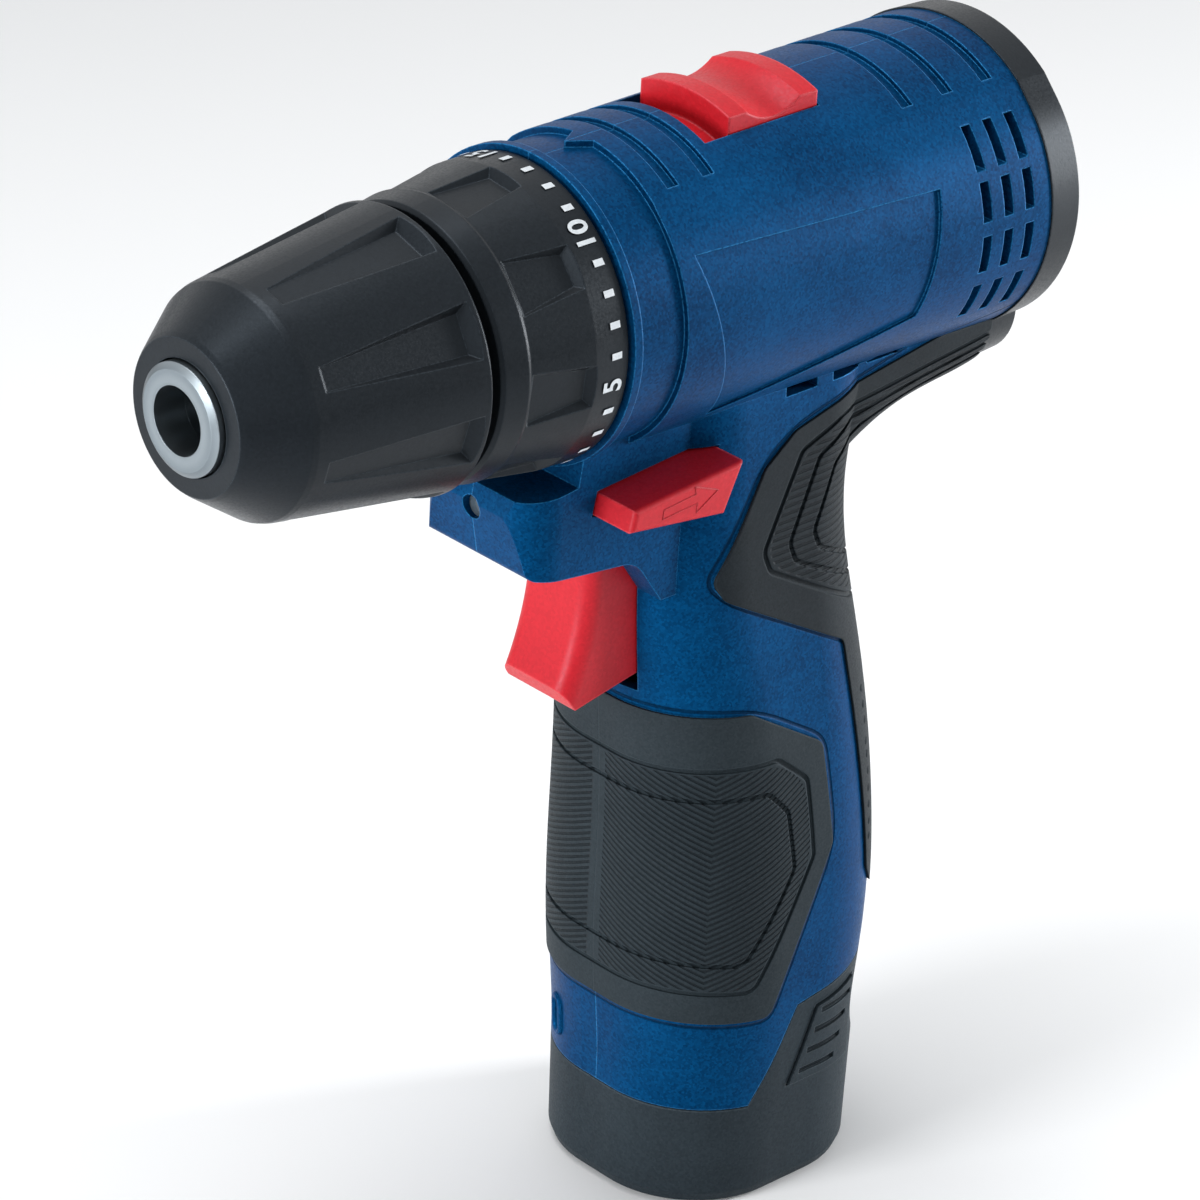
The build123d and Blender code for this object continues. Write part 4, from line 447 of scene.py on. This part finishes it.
def turned_metal(name, tone, second, roughness, radian_mm):
    """Metal turned about the spindle axis: rings change its tone, roughness and bump. A radian of their wave
    takes radian_mm, so they lie 2 pi times as far apart."""
    material = bpy.data.materials.new(name)
    material.use_nodes = True
    tree = material.node_tree
    shader = tree.nodes["Principled BSDF"]
    place = add(tree, "ShaderNodeTexCoord").outputs["Object"]
    centred = add(tree, "ShaderNodeMapping", {"Vector": place, "Location": (0, 0, -AXIS_Z * MM)}).outputs[0]
    rings = add(tree, "ShaderNodeTexWave", {"Vector": centred, "Scale": MM_PER_M / radian_mm / WAVE_RATE,
                                            "Distortion": WAVE_WANDER},
                wave_type="RINGS", rings_direction="X").outputs["Fac"]
    colour = add(tree, "ShaderNodeMix", {MIX_SHARE: rings, MIX_FROM: linear(tone), MIX_TO: linear(second)},
                 data_type="RGBA").outputs[MIX_RESULT]
    dull = add(tree, "ShaderNodeMapRange", {"Value": rings, "To Min": roughness - GLOSSIER,
                                            "To Max": roughness + DULLER}).outputs[0]
    rounded = add(tree, "ShaderNodeBevel", {"Radius": METAL_EDGE_MM * MM}, samples=4).outputs[0]
    normal = add(tree, "ShaderNodeBump", {"Height": rings, "Distance": RING_DEPTH_MM * MM,
                                          "Strength": RING_STRENGTH, "Normal": rounded}).outputs[0]
    tree.links.new(colour, shader.inputs["Base Color"])
    tree.links.new(dull, shader.inputs["Roughness"])
    tree.links.new(normal, shader.inputs["Normal"])
    shader.inputs["Metallic"].default_value = 1.0
    return material


# Bright steel of shafts, gears and jaws.
finishes["steel"] = turned_metal("turned_steel", "#A4A8AC", "#8E9296", 0.3, 0.4)
# Light alloy of the chuck body, turned and left bare, a little duller than steel.
finishes["chuck_alloy"] = turned_metal("turned_light_alloy", "#8E979D", "#7A8389", 0.34, 0.5)
# Screws blackened in an oxide bath.
finishes["black_oxide"] = turned_metal("black_oxide_steel", "#2A2B2D", "#1E1F21", 0.42, 0.5)
# Windings: varnished copper.
finishes["copper"] = turned_metal("enamelled_copper_wire", "#A8623A", "#8A4A28", 0.32, 0.6)
# Contacts: rolled brass.
finishes["brass"] = turned_metal("rolled_brass", "#B08A4A", "#9A763A", 0.3, 0.5)
print("finishes:", len(finishes))

# %% [markdown]
# ## Dressing the frame
# Each CAD node takes one of these finishes by name, and a node that isn't named here is steel. The slots of
# its mesh are cleared and the finish becomes the only one.

# %% Finish for every node
finish_of = {
    "blue_abs": ["left_housing", "right_housing"],
    "black_nylon": ["chuck_sleeve", "torque_collar", "rear_cap"],
    "front_rubber": ["front_grip_left", "front_grip_right"],
    "rear_rubber": ["rear_grip_left", "rear_grip_right"],
    "battery_abs": ["battery_case"],
    "latch_abs": ["latch_left", "latch_right"],
    "red_acetal": ["trigger", "direction_switch", "gear_selector"],
    "grey_nylon": ["gear_case", "gearbox_plate", "clutch_nut", "motor_fan", "switch_module",
                   "battery_contacts"],
    "chuck_alloy": ["chuck_body"],
    "lens": ["led_lens"],
    "ferrite": ["motor_magnets"],
    "cell_wrap": ["battery_cells"],
    "black_oxide": ["housing_screws"],
    "copper": ["motor_windings"],
    "brass": ["motor_brushes", "commutator", "battery_terminals"],
}
chosen = {node: finishes[finish] for finish, names in finish_of.items() for node in names}
for name, item in nodes.items():
    item.data.materials.clear()
    item.data.materials.append(chosen.get(name, finishes["steel"]))
print("dressed:", len(nodes))

# %% [markdown]
# ## Scale of the torque collar
# The numbers and strokes are printed on the collar's rear band. Text starts flat; laid on a cylinder, its
# reading direction becomes an angle and its height a distance along the spindle. The strokes are small
# curved patches, one at every step of the collar that has no number.

# %% Bend flat drawings round the collar
BAND_RADIUS, INK_MM = 24.96, 0.06


def mesh_piece(name, points, faces, material, body):
    """New piece from an array of points in millimetres."""
    mesh = bpy.data.meshes.new(name)
    mesh.from_pydata((points * MM).tolist(), [], faces)
    mesh.materials.append(material)
    piece = bpy.data.objects.new(name, mesh)
    scene.collection.objects.link(piece)
    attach(piece, body)


def on_band(along, across, centre_deg, centre_x):
    """Flat drawing to collar: along the reading direction is an angle that falls, across points to the chuck,
    and the ink stands INK_MM off the band."""
    angle = np.radians(centre_deg) - along / BAND_RADIUS
    radius = BAND_RADIUS + INK_MM
    return np.column_stack([centre_x - across, radius * np.cos(angle), AXIS_Z + radius * np.sin(angle)])


# Two-part printing ink, pressed on by a soft pad: pale grey and a little uneven.
ink = moulded("pad_printed_grey_ink", "#C4CBD1", "#DDE2E6", 0.5, 0.5, 0.005)
print("band:", 2 * BAND_RADIUS, "mm wide")

# %% [markdown]
# A number is a font's outline, turned to a mesh and bent. Steps 5, 10 and 15 carry one. The scale is read
# from behind the drill, so the tops of the numbers point to the chuck, and the angle falls as the numbers
# grow.

# %% Numbers
STEPS, STEP_DEG = 20, 11.3
NUMBERED, FIRST_NUMBER_DEG = (5, 10, 15), 187.7
NUMBER_X, NUMBER_MM, BOLD_MM, LETTER_SPACE = -52.9, 5.0, 0.12, 1.1


def step_deg(step):
    """Angle about the spindle at which a step of the scale lies."""
    return FIRST_NUMBER_DEG - (step - NUMBERED[0]) * STEP_DEG


def number(step):
    """Printed number: the outline of a font, fattened and filled, bent round the collar."""
    curve = bpy.data.curves.new("number", "FONT")
    curve.body, curve.size, curve.align_x, curve.align_y = str(step), NUMBER_MM, "CENTER", "CENTER"
    curve.space_character = LETTER_SPACE
    curve.offset = BOLD_MM
    holder = bpy.data.objects.new("number", curve)
    flat = bpy.data.meshes.new_from_object(holder)
    points = np.empty(len(flat.vertices) * 3)
    flat.vertices.foreach_get("co", points)
    points = points.reshape(-1, 3)
    bent = on_band(points[:, 0], points[:, 1], step_deg(step), NUMBER_X)
    faces = [list(face.vertices) for face in flat.polygons]
    bpy.data.objects.remove(holder)
    mesh_piece(f"scale_{step}", bent, faces, ink, "torque_collar")


for step in NUMBERED:
    number(step)
print("numbers:", NUMBERED)

# %% [markdown]
# A stroke is a grid of points, a few each way, so that it bends with the band. The order of a quad's
# corners decides which way its face looks, and here it has to look away from the spindle.

# %% Strokes
STROKE_X, STROKE_HALF, STROKE_GRID = -52.6, (0.55, 1.0), 4


def grid_faces(rows, columns, closed=False, turned=False):
    """Quads of a grid of points, row after row. Closed joins the last column to the first, and turned runs each
    quad the other way round, so that its face looks the other way."""
    index = np.arange(rows * columns).reshape(rows, columns)
    if closed:
        index = np.column_stack([index, index[:, 0]])
    quads = np.stack([index[:-1, :-1], index[:-1, 1:], index[1:, 1:], index[1:, :-1]], axis=-1).reshape(-1, 4)
    return quads[:, ::-1] if turned else quads


along, across = np.meshgrid(np.linspace(-STROKE_HALF[0], STROKE_HALF[0], STROKE_GRID),
                            np.linspace(-STROKE_HALF[1], STROKE_HALF[1], STROKE_GRID), indexing="ij")
strokes = [on_band(along.ravel(), across.ravel(), step_deg(step), STROKE_X)
           for step in range(1, STEPS + 1) if step not in NUMBERED]
patch = grid_faces(STROKE_GRID, STROKE_GRID, turned=True)
stroke_faces = np.concatenate([patch + along.size * i for i in range(len(strokes))])
mesh_piece("scale_strokes", np.concatenate(strokes), stroke_faces.tolist(), ink,
           "torque_collar")
print("strokes:", len(strokes))

# %% [markdown]
# ## Beads, studs and the strap eye
# A bead is a thin round section carried along a path. At every point of the path the section stands on two
# directions square to the way on: one is given, the surface's own outward direction, and the other is their
# cross product. The arrow on the direction switch is such a bead, and so is the strap eye on the front
# band.

# %% A round section along a closed path
SWITCH_FACE_Y = -22.4
ARROW = np.array([(-38.4, 137.6), (-31.0, 138.2), (-31.1, 136.6), (-26.6, 139.3), (-31.6, 141.2),
                  (-31.4, 139.9), (-38.2, 139.2)])
ARROW_STEP, ARROW_BEAD = 0.5, 0.12


def bead(name, path, outward, radius, material, body, sides=10):
    """Closed tube: path point + radius (cos v · outward + sin v · across), v going once round the section."""
    way = np.roll(path, -1, axis=0) - np.roll(path, 1, axis=0)
    way /= np.linalg.norm(way, axis=1)[:, None]
    outward = outward - (outward * way).sum(axis=1)[:, None] * way
    outward /= np.linalg.norm(outward, axis=1)[:, None]
    across = np.cross(way, outward)
    v = np.linspace(0.0, 2.0 * np.pi, sides, endpoint=False)
    section = np.cos(v)[:, None] * outward[:, None] + np.sin(v)[:, None] * across[:, None]
    rings = path[:, None] + radius * section
    faces = grid_faces(len(path) + 1, sides, closed=True) % (len(path) * sides)
    mesh_piece(name, rings.reshape(-1, 3), faces.tolist(), material, body)


def even_path(corners, step):
    """Closed polygon to points about step apart: each side is cut into equal parts no longer than step."""
    points = []
    for start, end in zip(corners, np.roll(corners, -1, axis=0)):
        count = int(np.ceil(np.linalg.norm(end - start) / step))
        points.append(start + (end - start) * np.arange(count)[:, None] / count)
    return np.concatenate(points)


on_switch = np.column_stack([ARROW[:, 0], np.full(len(ARROW), SWITCH_FACE_Y), ARROW[:, 1]])
path = even_path(on_switch, ARROW_STEP)
bead("switch_arrow", path, np.tile([0.0, -1.0, 0.0], (len(path), 1)), ARROW_BEAD, finishes["red_acetal"],
     "direction_switch", sides=8)
print("arrow points:", len(path))

# %% [markdown]
# The strip at the back of the handle carries a row of small studs. They have to sit on the grip, whatever
# its curve, so each starts as a point outside it and is dropped to the nearest point of the CAD surface,
# which also gives the direction that it stands in.

# %% Studs of the rear strip
STUD_FIRST_Z, STUD_PITCH, STUD_COUNT = 62.5, 3.4, 10
STUD_RADIUS, STUD_HEIGHT, STUD_SINK = 0.8, 0.3, 0.1
STRIP_FROM, STRIP_DEG, STRIP_OUT = (4.75, 3.8), 57.0, 40.0


def dropped(node, points):
    """Nearest points of a CAD node's surface and its outward directions there (millimetres)."""
    found = [nodes[node].closest_point_on_mesh(Vector(point) * MM) for point in points]
    return np.array([hit[1] for hit in found]) / MM, np.array([hit[2] for hit in found])


def dome(centre, outward, radius, height, rings=5, sides=16):
    """Low dome: radius · sin u round the outward direction, height · cos u along it, u from the top to the rim,
    and the whole sunk by STUD_SINK so that no gap shows."""
    outward = outward / np.linalg.norm(outward)
    first = np.cross(outward, [0.0, 0.0, 1.0])
    first /= np.linalg.norm(first)
    second = np.cross(outward, first)
    u, v = np.meshgrid(np.linspace(0.0, np.pi / 2, rings + 1)[1:],
                       np.linspace(0, 2 * np.pi, sides, endpoint=False), indexing="ij")
    spread = radius * np.sin(u)[..., None] * (np.cos(v)[..., None] * first + np.sin(v)[..., None] * second)
    points = centre + spread + (height * np.cos(u) - STUD_SINK)[..., None] * outward
    points = np.vstack([centre + (height - STUD_SINK) * outward, points.reshape(-1, 3)])
    faces = (grid_faces(rings, sides, closed=True, turned=True) + 1).tolist()
    rim = np.arange(sides)
    faces += np.column_stack([np.zeros_like(rim), 1 + rim, 1 + (rim + 1) % sides]).tolist()
    return points, faces


heights = STUD_FIRST_Z + STUD_PITCH * np.arange(STUD_COUNT)
bearing = np.radians(STRIP_DEG)
start_x, start_y = STRIP_FROM[0] + STRIP_OUT * np.cos(bearing), STRIP_FROM[1] + STRIP_OUT * np.sin(bearing)
for side, sign in (("left", -1.0), ("right", 1.0)):
    start = np.column_stack([np.full_like(heights, start_x), np.full_like(heights, sign * start_y), heights])
    feet, normals = dropped(f"rear_grip_{side}", start)
    domes = [dome(foot, normal, STUD_RADIUS, STUD_HEIGHT) for foot, normal in zip(feet, normals)]
    stud_faces = [[corner + i * len(points) for corner in face]
                  for i, (points, faces) in enumerate(domes) for face in faces]
    mesh_piece(f"strip_studs_{side}", np.concatenate([points for points, _ in domes]), stud_faces,
               finishes["rear_rubber"], "housing")
print("studs:", 2 * STUD_COUNT)

# %% [markdown]
# The strap eye is a raised ring low on the front of the handle. Its path is an oblong, two half circles
# joined by straight sides, drawn upright against the shell and dropped to it point by point.

# %% Strap eye
EYE_PLACE = (-23.0, 11.5, 26.0)
EYE_RADIUS, EYE_STRAIGHT = 1.5, 2.0
EYE_BEAD, EYE_POINTS = 0.6, 48
UPWARD = [0.0, 0.0, 1.0]

centre, facing = (value[0] for value in dropped("right_housing", [EYE_PLACE]))
beside = np.cross(UPWARD, facing)
beside /= np.linalg.norm(beside)
turn = np.linspace(0.0, 2.0 * np.pi, EYE_POINTS, endpoint=False)
high = EYE_RADIUS * np.sin(turn) + EYE_STRAIGHT * np.sign(np.sin(turn))
oblong = centre + np.outer(EYE_RADIUS * np.cos(turn), beside) + np.outer(high, UPWARD)
feet, normals = dropped("right_housing", oblong)
bead("strap_eye_rim", feet, normals, EYE_BEAD, finishes["blue_abs"], "housing")
print("strap eye at", np.round(centre, 1))
